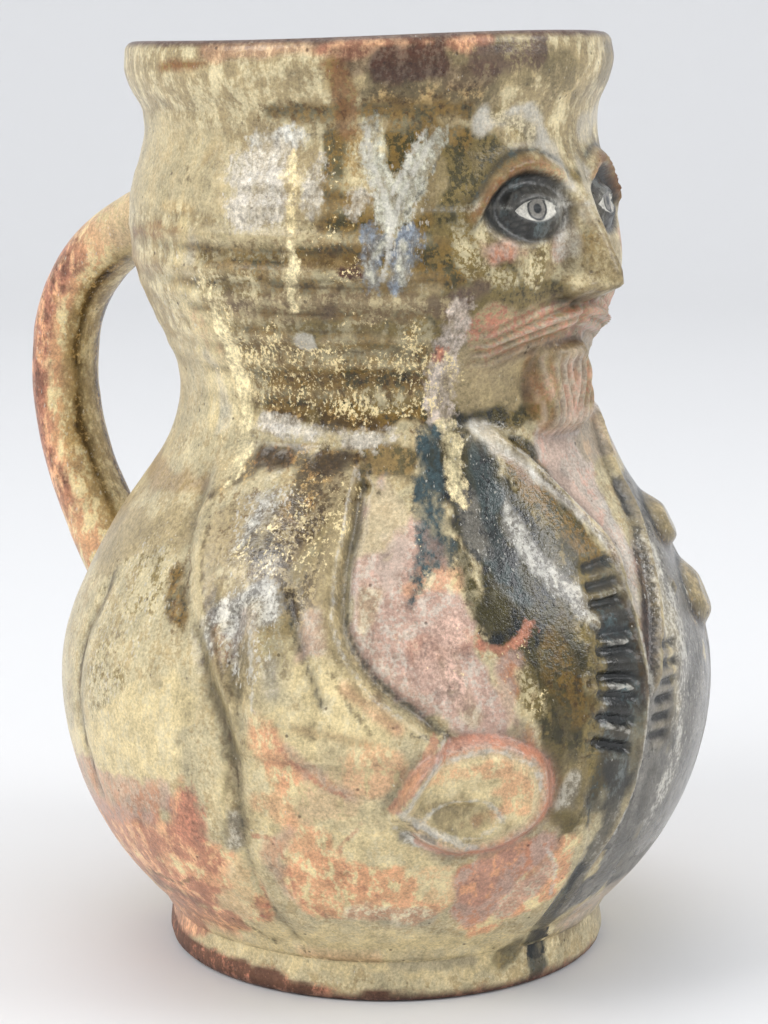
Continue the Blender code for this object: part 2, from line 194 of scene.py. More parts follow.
# Thin lines along the coat's edges: kind, half width, edge, mm beside it, lowest and highest point.
LINES_ALONG = """
dark 0.6 lapel -1.2 44 108
dark 0.7 far_lapel -0.4 84 122
dark 0.7 far_lapel -2.6 86 118
brown 0.7 lapel 2.6 90 136
pale 0.6 lapel 0.4 50 146
pale 0.5 lapel -2.4 46 100
pale 0.1 sleeve 1.8 86 136
dark 0.1 seam -1 10 66
brown 0.2 seam -1 60 118
brown 0.5 seam 5 90 136
"""

# Throwing rings left by the fingers: height, how far one stands out.
THROWING_RINGS = ((160.5, 0.25), (168, 0.50), (174.5, 0.45), (180, 0.20), (184.5, 0.50), (191.5, 0.60),
                  (200.5, 0.55), (208, 0.20), (214, 0.30), (229, 0.25))

# Burst bubbles in the glaze: angle, height, radius in mm.
BLISTERS = ((80.5, 144, 2.3), (85, 145, 1.8), (59, 138, 2.6), (45.5, 143.5, 1.2), (23, 138, 1.2),
            (16, 103, 2.2), (19, 90, 2), (54, 123, 1.2), (64.7, 108.7, 1.2), (65, 84.5, 1.2),
            (65, 80.5, 1.3), (82, 103.5, 2.6), (94.5, 88, 2.6), (71, 145.5, 1.4), (56, 137, 1),
            (43.5, 92.5, 1.6), (82.5, 141.5, 1.5), (92, 137, 1.3), (-11.5, 107, 1.6), (34, 150, 1.2))

# Pits through the glaze: angle, height, radius in mm.
PITS = ((103.5, 48, 1.7), (37, 51.5, 0.6), (58, 38, 0.8), (57, 21, 0.9), (62.7, 46, 0.6),
        (76, 56, 0.6), (61, 43, 0.5), (108, 210, 1.4), (52.5, 84, 0.8), (90, 74.5, 0.7))


def colour(title, code, words):
    """A colour setting whose default is an sRGB hex code."""
    return bpy.props.FloatVectorProperty(name=title, description=words, subtype="COLOR", size=3, min=0.0,
                                         max=1.0, default=linear(code))


def length(title, metres, words):
    """A length setting in metres."""
    return bpy.props.FloatProperty(name=title, description=words, subtype="DISTANCE", unit="LENGTH",
                                   default=metres)


def linear(code):
    """An sRGB hex colour as linear light."""
    parts = [int(code[k:k + 2], 16) / 255.0 for k in (1, 3, 5)]
    return tuple(p / 12.92 if p <= 0.04045 else ((p + 0.055) / 1.055) ** 2.4 for p in parts)


def turned(title, radians, words):
    """An angle setting in radians."""
    return bpy.props.FloatProperty(name=title, description=words, subtype="ANGLE", unit="ROTATION",
                                   default=radians)


class PitcherSizes(bpy.types.PropertyGroup):
    """Real sizes of the pitcher."""

    rim_height: length("Rim height", CAD_HIGH[2] - RIM_RISE * MM, "Height of the rim at the sides")
    belly_radius: length("Belly radius", 0.0903, "Largest radius of the plain wall")
    wall: length("Wall", 0.0058, "Thickness of the wall")
    floor: length("Floor", 0.0090, "Thickness of the floor")
    floor_fillet: length("Floor fillet", 0.0180, "Rounding between floor and wall inside")
    chamfer: length("Foot chamfer", 0.0024, "Bevel round the underside")
    neck_lean: length("Neck lean", 0.0062, "How far the rim sits behind the foot")
    lip_push: length("Lip", 0.0022, "How far the pouring lip is pushed out")
    nose: length("Nose", 0.0125, "Height of the nose over the neck")
    brow: length("Brow", 0.0028, "Height of the brow roll")
    eye: length("Eye hollow", 0.0032, "Depth of the eye hollows")
    beard: length("Beard", 0.0072, "Height of the chin beard")
    moustache: length("Moustache", 0.0036, "Height of the moustache")
    lapel: length("Lapel", 0.0019, "Step at the edge of the coat")
    sleeve: length("Sleeve", 0.0040, "Height of the sleeves")
    fist: length("Fist", 0.0036, "Height of the fists")
    breast: length("Breast ornament", 0.0038, "Height of the ornament on the far breast")
    notch: length("Notch", 0.0016, "Depth of the notches in the two ladders")
    groove: length("Groove", 0.0012, "Depth of the seams of the coat")
    strap_thickness: length("Handle thickness", 0.0184, "Thickness of the handle's strap")
    strap_width: length("Handle width", 0.0212, "Width of the handle's strap")
    strap_top: length("Handle top", 0.1990, "Height of the upper root")
    strap_foot: length("Handle foot", 0.0872, "Height of the lower root")
    strap_reach: length("Handle reach", 0.1194, "Distance of the strap's middle from the axis")


class GlazeColours(bpy.types.PropertyGroup):
    """Colours of the ash glazes, oxides and bare clay."""

    cream: colour("Cream", "#cbbd96", "Matt ash glaze")
    straw: colour("Straw", "#dcc998", "Pale yellow ash glaze")
    butter: colour("Butter", "#e8d8aa", "Runs of thick yellow glaze")
    ochre: colour("Ochre", "#b8955a", "Ochre runs")
    beige: colour("Beige", "#ad9a72", "Dull beige glaze on the neck")
    celadon: colour("Celadon", "#8a7b58", "Grey green glaze under the rim")
    moss: colour("Moss", "#7a693a", "Olive glaze")
    olive: colour("Olive", "#3d3718", "Dark olive glaze")
    bark: colour("Bark", "#443110", "Brown olive glaze over throwing rings")
    amber: colour("Amber", "#7e6128", "Golden brown glaze in the hollows of the rings")
    rust: colour("Rust", "#87592f", "Iron breaking orange")
    oxblood: colour("Oxblood", "#4c2d1f", "Dark red iron at the rim")
    mauve: colour("Mauve", "#645042", "Purple brown iron")
    rose: colour("Rose", "#c0a08f", "Pink matt glaze")
    salmon: colour("Salmon", "#e4ab80", "Salmon matt glaze")
    brick: colour("Brick", "#b67a60", "Red brown of thin glaze")
    clay: colour("Clay", "#6f4c39", "Bare fired clay of the foot")
    slate: colour("Slate", "#807c74", "Grey glaze on the front")
    smoke: colour("Smoke", "#46443e", "Dark grey glaze")
    ink: colour("Ink", "#171b1c", "Blue black pools")
    teal: colour("Teal", "#37474a", "Blue runs")
    opal: colour("Opal", "#b9b6a3", "Milky opal runs")
    violet: colour("Violet", "#7f868e", "Blue violet edge of the opal pool")
    chalk: colour("Chalk", "#cdc9bd", "White crystals and pale slip")
    lilac: colour("Lilac", "#beb5a4", "Lilac white crystal patch")
    shirt: colour("Shirt", "#c4b5a6", "Pinkish white of the shirt")


class StageSettings(bpy.types.PropertyGroup):
    """Floor, light and camera."""

    floor: colour("Floor", "#e2e3e5", "Pale studio floor")
    floor_radius: length("Floor radius", 1.6, "Radius of the flat floor")
    wall_radius: length("Wall radius", 2.5, "Radius of the round backdrop")
    wall_height: length("Wall height", 2.4, "Height of the round backdrop")
    camera_azimuth: turned("Azimuth", math.radians(54.0), "Direction the camera looks from")
    camera_pitch: turned("Pitch", 0.188, "How far the camera looks down")
    camera_distance: length("Distance", 0.730, "Camera's distance from the pitcher's axis")
    camera_height: length("Height", 0.259, "Camera's height over the floor")
    camera_turn: turned("Turn", 0.00093, "Turn that puts the axis where the photo has it")
    lens: bpy.props.FloatProperty(name="Lens", description="Focal length", subtype="DISTANCE_CAMERA",
                                  unit="CAMERA", default=94.09)


def in_mm(sizes):
    """A group of lengths as plain numbers in mm."""
    return SimpleNamespace(**{name: getattr(sizes, name) / MM for name in sizes.__annotations__})


def rows(table):
    """Each row of a table as its words, numbers as numbers, with its a/b points last; # opens a heading."""
    for row in table.strip().split("\n"):
        words = row.split()
        if words[0] != "#":
            points = [tuple(map(float, word.split("/"))) for word in words if "/" in word]
            yield *(float(word) if word[-1].isdigit() else word for word in words if "/" not in word), points


def ease(low, high, value):
    """0 below low, 1 above high, eased between; low may be the larger."""
    t = np.clip((value - low) / (high - low), 0, 1)
    return t * t * (3 - 2 * t)


def band(value, start, full, last, end):
    """1 from full to last, 0 up to start and beyond end, eased between."""
    return ease(start, full, value) * ease(end, last, value)


def bell(distance, width):
    """A bell curve of height one."""
    return np.exp(-(distance / width) ** 2)


def spline(at, places, values):
    """A smooth curve through the values, by cubic pieces with slopes from the neighbours."""
    places = np.asarray(places, float)
    values = np.asarray(values, float)
    slopes = np.gradient(values, places)
    k = np.clip(np.searchsorted(places, at) - 1, 0, len(places) - 2)
    span = places[k + 1] - places[k]
    t = np.clip((at - places[k]) / span, 0, 1)
    start = (2 * t ** 3 - 3 * t ** 2 + 1) * values[k] + (t ** 3 - 2 * t ** 2 + t) * span * slopes[k]
    return start + (3 * t ** 2 - 2 * t ** 3) * values[k + 1] + (t ** 3 - t ** 2) * span * slopes[k + 1]


def lattice_noise(x, y, z, seed):
    """Smooth noise from -1 to 1: a random number on each corner of a unit lattice, blended between."""
    cell = [np.floor(v).astype(np.int64) for v in (x, y, z)]
    part = [v - c for v, c in zip((x, y, z), cell)]
    part = [p * p * (3 - 2 * p) for p in part]
    total = 0
    for corner in range(8):
        step = (corner & 1, corner >> 1 & 1, corner >> 2)
        mixed = sum((c + s) * k for c, s, k in zip(cell, step, (73856093, 19349663, 83492791)))
        mixed = (mixed ^ (seed * 2654435761)) & 0xFFFFFFFF
        mixed = ((mixed ^ (mixed >> 15)) * 2246822519) & 0xFFFFFFFF
        mixed = ((mixed ^ (mixed >> 13)) * 3266489917) & 0xFFFFFFFF
        value = ((mixed ^ (mixed >> 16)) & 0xFFFFFF) / float(0xFFFFFF)
        weight = 1
        for p, s in zip(part, step):
            weight = weight * (p if s else 1 - p)
        total = total + value * weight
    return 2 * total - 1


class Wall:
    """The plain wall at every point of a grid of angle and height, with what the relief needs."""

    def __init__(self, angle, z, sizes):
        self.angle = angle
        self.z = z
        self.radius = plain_radius(z, sizes)
        self.arc = math.radians(1) * self.radius
        turn = np.radians(angle)
        self.x = -self.radius * np.sin(turn)
        self.y = -self.radius * np.cos(turn)

    def noise(self, size, seed, tall=1):
        """Noise whose lumps are size mm across and tall times as high."""
        return lattice_noise(self.x / size, self.y / size, self.z / (size * tall), seed)

    def far_side(self, drift=0):
        """The points as the far side repeats the near one: mirrored, with the coat carried further round."""
        mirrored = copy.copy(self)
        mirrored.angle = -self.angle - FAR_ARM_TURN * ease(160, 152, self.z) + drift
        return mirrored

    def along(self, points):
        """For each stretch of a line of (angle, height, ...): distance, share run along it, its ends."""
        for first, last in zip(points, points[1:] or points):
            ax = (self.angle - first[0]) * self.arc
            az = self.z - first[1]
            bx = (last[0] - first[0]) * self.arc
            bz = last[1] - first[1]
            t = np.clip((ax * bx + az * bz) / (bx * bx + bz * bz + 1e-9), 0, 1)
            yield np.hypot(ax - t * bx, az - t * bz), t, first, last

    def distance(self, points):
        """Distance in mm to a line of (angle, height) points."""
        return np.min([off for off, *_ in self.along(points)], axis=0)

    def inside(self, points):
        """Mm inside a pool of glaze: half its width less the distance to its middle line."""
        return np.max([first[2] + (last[2] - first[2]) * t - off
                       for off, t, first, last in self.along(points)], axis=0)

    def stroke(self, points, width, height):
        """A rounded ridge along a line, or a groove when height is negative."""
        return height * bell(self.distance(points), width)

    def side_of(self, line):
        """Distance from a line of (height, angle) points, positive at larger angles."""
        heights, angles = zip(*line)
        edge = spline(self.z, heights, angles)
        slope = (spline(self.z + 1, heights, angles) - spline(self.z - 1, heights, angles)) / 2
        return (self.angle - edge) * self.arc / np.hypot(1, slope * self.arc)

    def oval(self, middle_angle, middle, half_angle, half, turn=0):
        """0 at the middle of an oval, 1 on its outline."""
        u = (self.angle - middle_angle) / half_angle
        v = (self.z - middle) / half
        c = math.cos(turn)
        s = math.sin(turn)
        return np.hypot(c * u + s * v, c * v - s * u)


def plain_radius(z, sizes):
    """Radius of the plain turned wall in mm at a height in mm."""
    heights, shares = zip(*OUTLINE)
    return spline(np.asarray(z, float), heights, shares) * sizes.belly_radius


def neck_lean(z, sizes):
    """How far the neck leans back at a height, in mm."""
    return ease(138, 193, z) * (0.62 + 0.38 * ease(170, 250, z)) * sizes.neck_lean


def ring_tilt(wall):
    """How much higher a throwing ring runs at each angle than its middle height, in mm."""
    return 0.7 * np.sin(np.radians(wall.angle) + 0.6)


# Heights of the face in mm, from equal thirds, and how far each eye is from the middle.
CHIN = 150
THIRD = 34
EYE = 16.5
NOSE_BASE = CHIN + THIRD
BROW = NOSE_BASE + THIRD
MOUTH = NOSE_BASE - THIRD / 3
EYE_LEVEL = BROW - 0.30 * THIRD


def across_face(wall, sizes):
    """Mm from the middle line of the face."""
    return np.abs(wall.angle) * math.radians(1) * float(plain_radius(EYE_LEVEL, sizes)) * 0.97


def moustache_sweep(x):
    """Height of the moustache's middle line over the nose's base."""
    return -4.2 - 0.4 * (x / 5) ** 1.6 + 2.6 * ease(28, 36, x)


def brow_arch(x):
    """Height of the brow roll's middle line."""
    t = np.clip((x - 4.5) / 30, 0, 1)
    return BROW + 7 * np.sin(math.pi * (0.10 + 0.80 * t)) - 5 - 8.5 * t ** 3


def eye_shape(x, z):
    """The eyeball's oval (1 on its outline), mm inside the almond between the lids, mm over the lid."""
    ball = np.hypot((x - EYE) / (0.55 * EYE), (z - EYE_LEVEL + 0.5) / (0.40 * EYE))
    u = np.clip(np.abs(x - EYE) / 6.8, 0, 1)
    over = z - EYE_LEVEL + 0.6
    upper = 2.9 * (1 - u ** 2) ** 0.8
    lower = -2.5 * (1 - u ** 2) ** 0.9
    opening = np.where(u < 1, np.minimum(upper - over, over - lower), -4)
    return ball, opening, over - upper


def moustache_hair(x):
    """Fullness of the moustache from the middle line outwards."""
    return np.interp(x, (0, 2, 10, 24, 36), (0.6, 1, 1, 0.55, 0))


def moustache_strands(wall, x):
    """Combed strands: waves 3.4 mm apart that follow the moustache and fan out at its end."""
    over = wall.z - NOSE_BASE - moustache_sweep(x)
    fan = 1 + 0.25 * ease(4, 30, x)
    return np.sin(2 * math.pi * over * fan / 3.4 + 2.2 * wall.noise(11, 14) + 0.05 * x)


def beard_curls(wall, x):
    """Locks of the beard: waves 3 mm apart across it that bend from side to side on the way down."""
    bend = 1.1 * np.sin(wall.z / 3.4)
    return np.sin(2 * math.pi * (x + bend) / 3 + 1.2 * wall.noise(8, 15))


def ladder_steps():
    """Notch and ridge of each step of the near ladder, as lines of (angle, height)."""
    for height in LADDER:
        down = LADDER[0] - height
        start = 6.2 + 0.12 * down
        tilt = 0.5 - 0.045 * down
        notch = ((start, height + tilt), (start + 6.8, height - tilt))
        ridge = ((start + 1.2, height - 2.2 + tilt), (start + 5.6, height - 2.2 - tilt))
        yield notch, ridge


def far_ladder_steps():
    """Notches of the far ladder, as lines of (angle, height)."""
    for step in range(6):
        top = 94.5 - 4.6 * step
        start = 0.9 * step - 4.4
        yield (start, top), (start + 4.2, top + 0.4)


def face_relief(wall, sizes):
    """The face: equal thirds for brow, nose and chin, five eye widths wide on the front of the neck."""
    z = wall.z
    x = across_face(wall, sizes)
    mask = bell(x, 30) * band(z, CHIN + 4, NOSE_BASE, BROW + 8, BROW + 30)
    cheek = bell(x - 26, 11) * bell(z - NOSE_BASE - 4, 12)
    relief = 1.8 * mask + 2 * cheek

    # Eye hollow, eyeball, iris and lids.
    hollow = np.hypot((x - 1.10 * EYE) / (0.84 * EYE), (z - EYE_LEVEL) / (0.54 * EYE))
    relief -= sizes.eye * ease(1.15, 0.55, hollow)
    ball, opening, fold = eye_shape(x, z)
    relief += 3.4 * np.sqrt(np.clip(1 - ball ** 2, 0, 1))
    lids = ease(1.25, 1, ball)
    relief += 0.9 * lids * ease(0.5, -0.5, opening)
    relief += 0.4 * lids * bell(opening + 0.6, 0.8)
    relief -= 0.5 * lids * bell(fold - 2.6, 0.9) * ease(8, 5, np.abs(x - EYE))

    # Brow roll, arched over the hollow, with combed hairs.
    arch = brow_arch(x)
    ends = band(x, 3.5, 7.5, 32, 36.5)
    roll = bell(z - arch, 2.7) * ends
    hairs = np.sin(2 * math.pi * (x - 0.9 * (z - arch)) / 2.6 + wall.noise(6, 11))
    relief += (sizes.brow + 0.22 * hairs) * roll

    # Nose: bridge, tip, wings and nostrils.
    levels = (-6, -2.4, -0.8, 0.8, 3.6, 7.5, 13.5, 21.5, 29, 35, 40)
    rise = (0, 0, 0.10, 0.55, 1, 0.93, 0.66, 0.34, 0.14, 0.05, 0)
    half = (6, 6.4, 6.6, 6.8, 6.6, 5.8, 4.8, 4.2, 5, 6.2, 7)
    over = z - NOSE_BASE
    relief += sizes.nose * np.interp(over, levels, rise) * bell(x, np.interp(over, levels, half))
    relief += 4.2 * bell(x - 7.4, 2.7) * bell(over - 3.6, 3)
    relief -= 1.5 * bell(x - 4.2, 1.5) * bell(over + 0.4, 1.3)

    # Moustache, lips, chin and beard, with combed strands.
    lock = bell(over - moustache_sweep(x), 3.4 - 1.4 * ease(8, 34, x))
    relief += (sizes.moustache + 0.60 * moustache_strands(wall, x)) * moustache_hair(x) * lock
    spread = bell(over - moustache_sweep(x) + 0.8, 6) * band(x, 1, 5, 27, 37)
    relief += 0.55 * moustache_strands(wall, x) * spread
    relief += 2.2 * bell(x, 9) * bell(z - MOUTH + 3, 2.2) - 1 * bell(x, 10) * bell(z - MOUTH, 1)
    half_beard = np.interp(z, (147, 153, 164, 172), (10.5, 12.5, 12, 8))
    depth = spline(z, (144, 147.5, 151, 157, 164, 170, 176), (0, 0.12, 0.70, 1, 0.90, 0.48, 0))
    beard = depth * ease(half_beard + 3.4, half_beard - 4, x)
    relief += (sizes.beard + 0.45 * beard_curls(wall, x)) * beard
    return relief


def sleeve_relief(wall, sizes):
    """A bent arm from the shoulder to the cuff, with the fist in front of it."""
    angle = wall.angle
    z = wall.z
    front = wall.side_of(SLEEVE_FRONT)
    back = -wall.side_of(SLEEVE_BACK)
    low_edge = 56 + 0.30 * (angle - 52)
    arm = ease(-0.4, 2.6, front) * ease(-1, 6, back)
    arm *= band(z, low_edge - 12, low_edge + 14, 136, 149)
    arm *= ease(45.5, 49.5, angle + (z - 72) * 0.30)
    relief = sizes.sleeve * arm * (0.62 + 0.38 * bell(front - 10, 20))
    groove = sizes.groove
    relief -= 1.15 * groove * bell(front + 1.2, 1.5) * band(z, 77.5, 83, 136, 146)

    # Tail seam, folds and the back seam.
    seam = band(z, 8, 20, 128, 140)
    relief -= 0.85 * groove * bell(back + 1.4, 1.9) * seam
    relief += 0.9 * bell(back - 3.4, 2.6) * seam * ease(70, 100, z)
    for rise, width, points in rows(FOLDS):
        relief += wall.stroke(points, width, rise)
    for depth, width, points in rows(SEAMS):
        relief += wall.stroke(points, width, -depth * groove)

    # Fist.
    fist = wall.oval(*FIST) + 0.03 * wall.noise(6, 41)
    palm = 1 - 0.45 * ease(0.78, 0.10, fist)
    relief += sizes.fist * ease(1.08, 0.88, fist) * palm
    relief += 0.8 * bell(fist - 0.64, 0.08) * ease(44, 38, angle)
    relief -= 0.5 * bell(fist - 0.80, 0.05) * ease(46, 38, angle)
    lens = wall.oval(*PALM)
    relief += 0.7 * bell(lens - 1.1, 0.16) - 0.6 * ease(1, 0.6, lens)
    for finger in range(3):
        low = 58 + 4.6 * finger
        crease = ((31 - 0.6 * finger, low), (35.5, low + 1.2), (38.6, low + 0.4))
        relief += wall.stroke(crease, 1.1, -0.45 * groove)
    return relief


def coat_relief(wall, sizes):
    """Lapels, skirt, the two ladders of notches, the ornament on the far breast and both arms."""
    angle = wall.angle
    z = wall.z
    body = band(z, 12, 26, 147, 154)
    near = wall.side_of(LAPEL)
    far = -wall.side_of(FAR_LAPEL)
    near_panel = band(near, -0.6, 0.7, 4, 30) * ease(34, 50, z)
    far_panel = band(far, -0.6, 0.7, 4, 26) * ease(80, 88, z)
    relief = sizes.lapel * body * (near_panel + far_panel)
    relief += 0.9 * body * bell(near - 1.1, 1.1) * ease(40, 60, z)
    relief += 0.9 * body * bell(far - 1.1, 1.1) * ease(82, 90, z)

    # Edge of the skirt over the channel that runs down the front.
    flap = wall.side_of(SKIRT)
    low = band(z, 6, 14, 58, 66)
    relief += 1.3 * low * band(flap, -1, 1, 4, 22)

    notch = sizes.notch
    for number, (line, ridge) in enumerate(ladder_steps()):
        relief += wall.stroke(line, 1.5, -(0.9 + 0.25 * (number % 3)) * notch)
        relief += wall.stroke(ridge, 0.9, 0.2 + 0.6 * (number % 2))
    for line in far_ladder_steps():
        relief += wall.stroke(line, 1.2, -0.9 * notch)

    breast = sizes.breast
    for share, lobe in zip((1, 0.85), BREAST_LOBES):
        relief += share * breast * ease(1.08, 0.45, wall.oval(*lobe))
    relief += sleeve_relief(wall, sizes) + sleeve_relief(wall.far_side(), sizes)

    # Shoulder edge under the neck, open where the chest shows and smoothed away behind.
    edge = ease(18, 28, np.abs(angle)) * ease(125, 100, np.abs(angle))
    relief += 0.9 * bell(z - 150.5, 1.6) * edge
    return relief * ease(156, 148, z)


def ring_strength(wall):
    """How strongly the throwing rings show: not at all on the face, faintly behind."""
    beside_face = ease(34, 52, np.abs(wall.angle))
    return beside_face * (1 - 0.65 * ease(96, 118, np.abs(wall.angle)))


def making_marks(wall):
    """Throwing rings, hand-made unevenness, burst bubbles and pits, in mm over the wall."""
    relief = 0.30 * wall.noise(26, 1) + 0.13 * wall.noise(9, 2) + 0.05 * wall.noise(3.4, 3)
    for height, rise in THROWING_RINGS:
        relief += 1.7 * rise * bell(wall.z - height - ring_tilt(wall), 1.8) * ring_strength(wall)
    for angle, height, radius in BLISTERS:
        near = np.hypot((wall.angle - angle) * wall.arc, wall.z - height) / radius
        relief += 0.75 * bell(near - 0.85, 0.30) - 0.60 * bell(near, 0.55)
    for angle, height, radius in PITS:
        relief -= 0.8 * bell(np.hypot((wall.angle - angle) * wall.arc, wall.z - height), radius)
    return relief


def strap_root_fillet(wall, sizes):
    """Clay smoothed up against the two roots of the handle."""
    across = np.sin(np.radians(wall.angle)) * wall.radius
    behind = ease(120, 150, np.abs(wall.angle))
    relief = 0
    for root, swelling in ((sizes.strap_top, 1.28), (sizes.strap_foot, 1.32)):
        u = across / (swelling * sizes.strap_width / 2)
        v = (wall.z - root) / (swelling * sizes.strap_thickness / 2)
        relief = relief + 3 * ease(1.65, 0.75, np.hypot(u, v)) * behind
    return relief


def profile_rows(sizes):
    """Rows of the closed body: radius, height and whether the row lies on the outer wall."""
    wall, fillet, chamfer = sizes.wall, sizes.floor_fillet, sizes.chamfer
    heights = np.arange(LIP_FOOT, FOOT_TOP, -ROW_STEP)
    outside = np.stack([plain_radius(heights, sizes), heights], 1)

    turn = np.linspace(math.pi, 0, 11)[1:-1]
    lip = np.stack([outside[0, 0] - wall / 2 + wall / 2 * np.cos(turn),
                    LIP_FOOT + (sizes.rim_height - LIP_FOOT) * np.sin(turn)], 1)

    inner_low = sizes.floor + fillet
    inner_heights = np.arange(inner_low, LIP_FOOT, INNER_ROW_STEP)
    inner = plain_radius(inner_heights, sizes)
    slope = np.gradient(inner, inner_heights)
    inner = inner - wall * (1 + 0.45 * np.minimum(np.abs(slope), 1.2))
    inside = np.stack([inner, inner_heights], 1)
    reach = inner[0] - 0.55 * fillet
    bend = np.linspace(0, math.pi / 2, 6)[1:-1]
    corner = np.stack([reach + (inner[0] - reach) * np.sin(bend), inner_low - fillet * np.cos(bend)], 1)
    bottom = np.array([[reach * share, sizes.floor] for share in (0, 0.5, 1)])

    foot = float(plain_radius(FOOT_TOP, sizes))
    edge = np.array([[foot, 1.3 * chamfer], [foot - 0.25 * chamfer, 0.4 * chamfer],
                     [foot - 0.6 * chamfer, 0.08 * chamfer], [foot - chamfer, 0],
                     [0.75 * foot, 0], [0.4 * foot, 0], [0, 0]])
    parts = (bottom, corner, inside, lip, outside, edge)
    radius, height = np.concatenate(parts).T
    return radius, height, np.concatenate([np.full(len(part), part is outside) for part in parts])


def sheet(name, points, closed=True):
    """A mesh from a grid of points: columns join round, the first row is a point, the last too if closed."""
    last_row = len(points) - closed
    ring = points[1:last_row]
    here = 1 + np.arange(ring.shape[0] * ring.shape[1]).reshape(ring.shape[:2])
    after = np.roll(here, -1, axis=1)
    faces = np.stack([here[:-1], here[1:], after[1:], after[:-1]], -1).reshape(-1, 4).tolist()
    faces += np.stack([0 * here[0], here[0], after[0]], -1).tolist()
    faces += np.stack([0 * here[0] + here.size + 1, after[-1], here[-1]], -1).tolist() * closed
    vertices = np.concatenate([points[:1, 0], ring.reshape(-1, 3), points[last_row:, 0]])
    mesh = bpy.data.meshes.new(name)
    mesh.from_pydata(vertices.tolist(), [], faces)
    mesh.validate()
    mesh.shade_smooth()
    piece = bpy.data.objects.new(name, mesh)
    bpy.context.scene.collection.objects.link(piece)
    return piece


def on_vertices(field):
    """A grid of values in the order of a sheet's vertices."""
    return np.concatenate([field[:1, 0], field[1:-1].reshape(-1, field.shape[-1]), field[-1:, 0]])


def store(piece, name, field):
    """Keep a grid of four values a point as a colour attribute of the piece."""
    layer = piece.data.attributes.new(name, "FLOAT_COLOR", "POINT")
    layer.data.foreach_set("color", on_vertices(field).astype(np.float32).ravel())


# Every glaze: name, colour, the colour it breaks to where it thins, that one's share, and how finely
# the two are broken up (0 broad, 1 fine).
BREAKS = """
cream cream beige 0.42 0.6
stone beige cream 0.45 0.4
straw straw cream 0.38 0.4
butter butter straw 0.45 0.7
ochre ochre straw 0.45 0.6
beige beige celadon 0.35 0.6
celadon celadon beige 0.32 0.5
moss moss olive 0.42 0.7
golden amber olive 0.48 0.8
olive olive moss 0.45 0.6
bark bark ochre 0.28 0.8
speckled bark straw 0.42 1
khaki moss cream 0.48 1
pepper cream moss 0.38 0.7
banded mauve beige 0.42 0.8
rust rust amber 0.42 0.8
oxblood oxblood mauve 0.5 0.8
mauve mauve celadon 0.35 0.6
rose rose shirt 0.42 0.9
salmon salmon straw 0.38 0.1
brick brick salmon 0.38 0.2
slate slate smoke 0.38 0.4
frost slate chalk 0.5 0.9
smoke smoke slate 0.3 0.5
ink ink teal 0.3 0.4
deep olive ink 0.5 0.5
teal teal ink 0.35 0.5
opal opal violet 0.45 0.6
violet violet smoke 0.42 0.6
chalk chalk lilac 0.42 0.8
lilac lilac chalk 0.35 0.6
shirt shirt rose 0.35 0.4
flesh rose brick 0.46 0.3
hair beige brick 0.52 0.8
iron bark rust 0.36 0.6
peppered beige bark 0.57 0.9
clay clay brick 0.25 0.6
"""
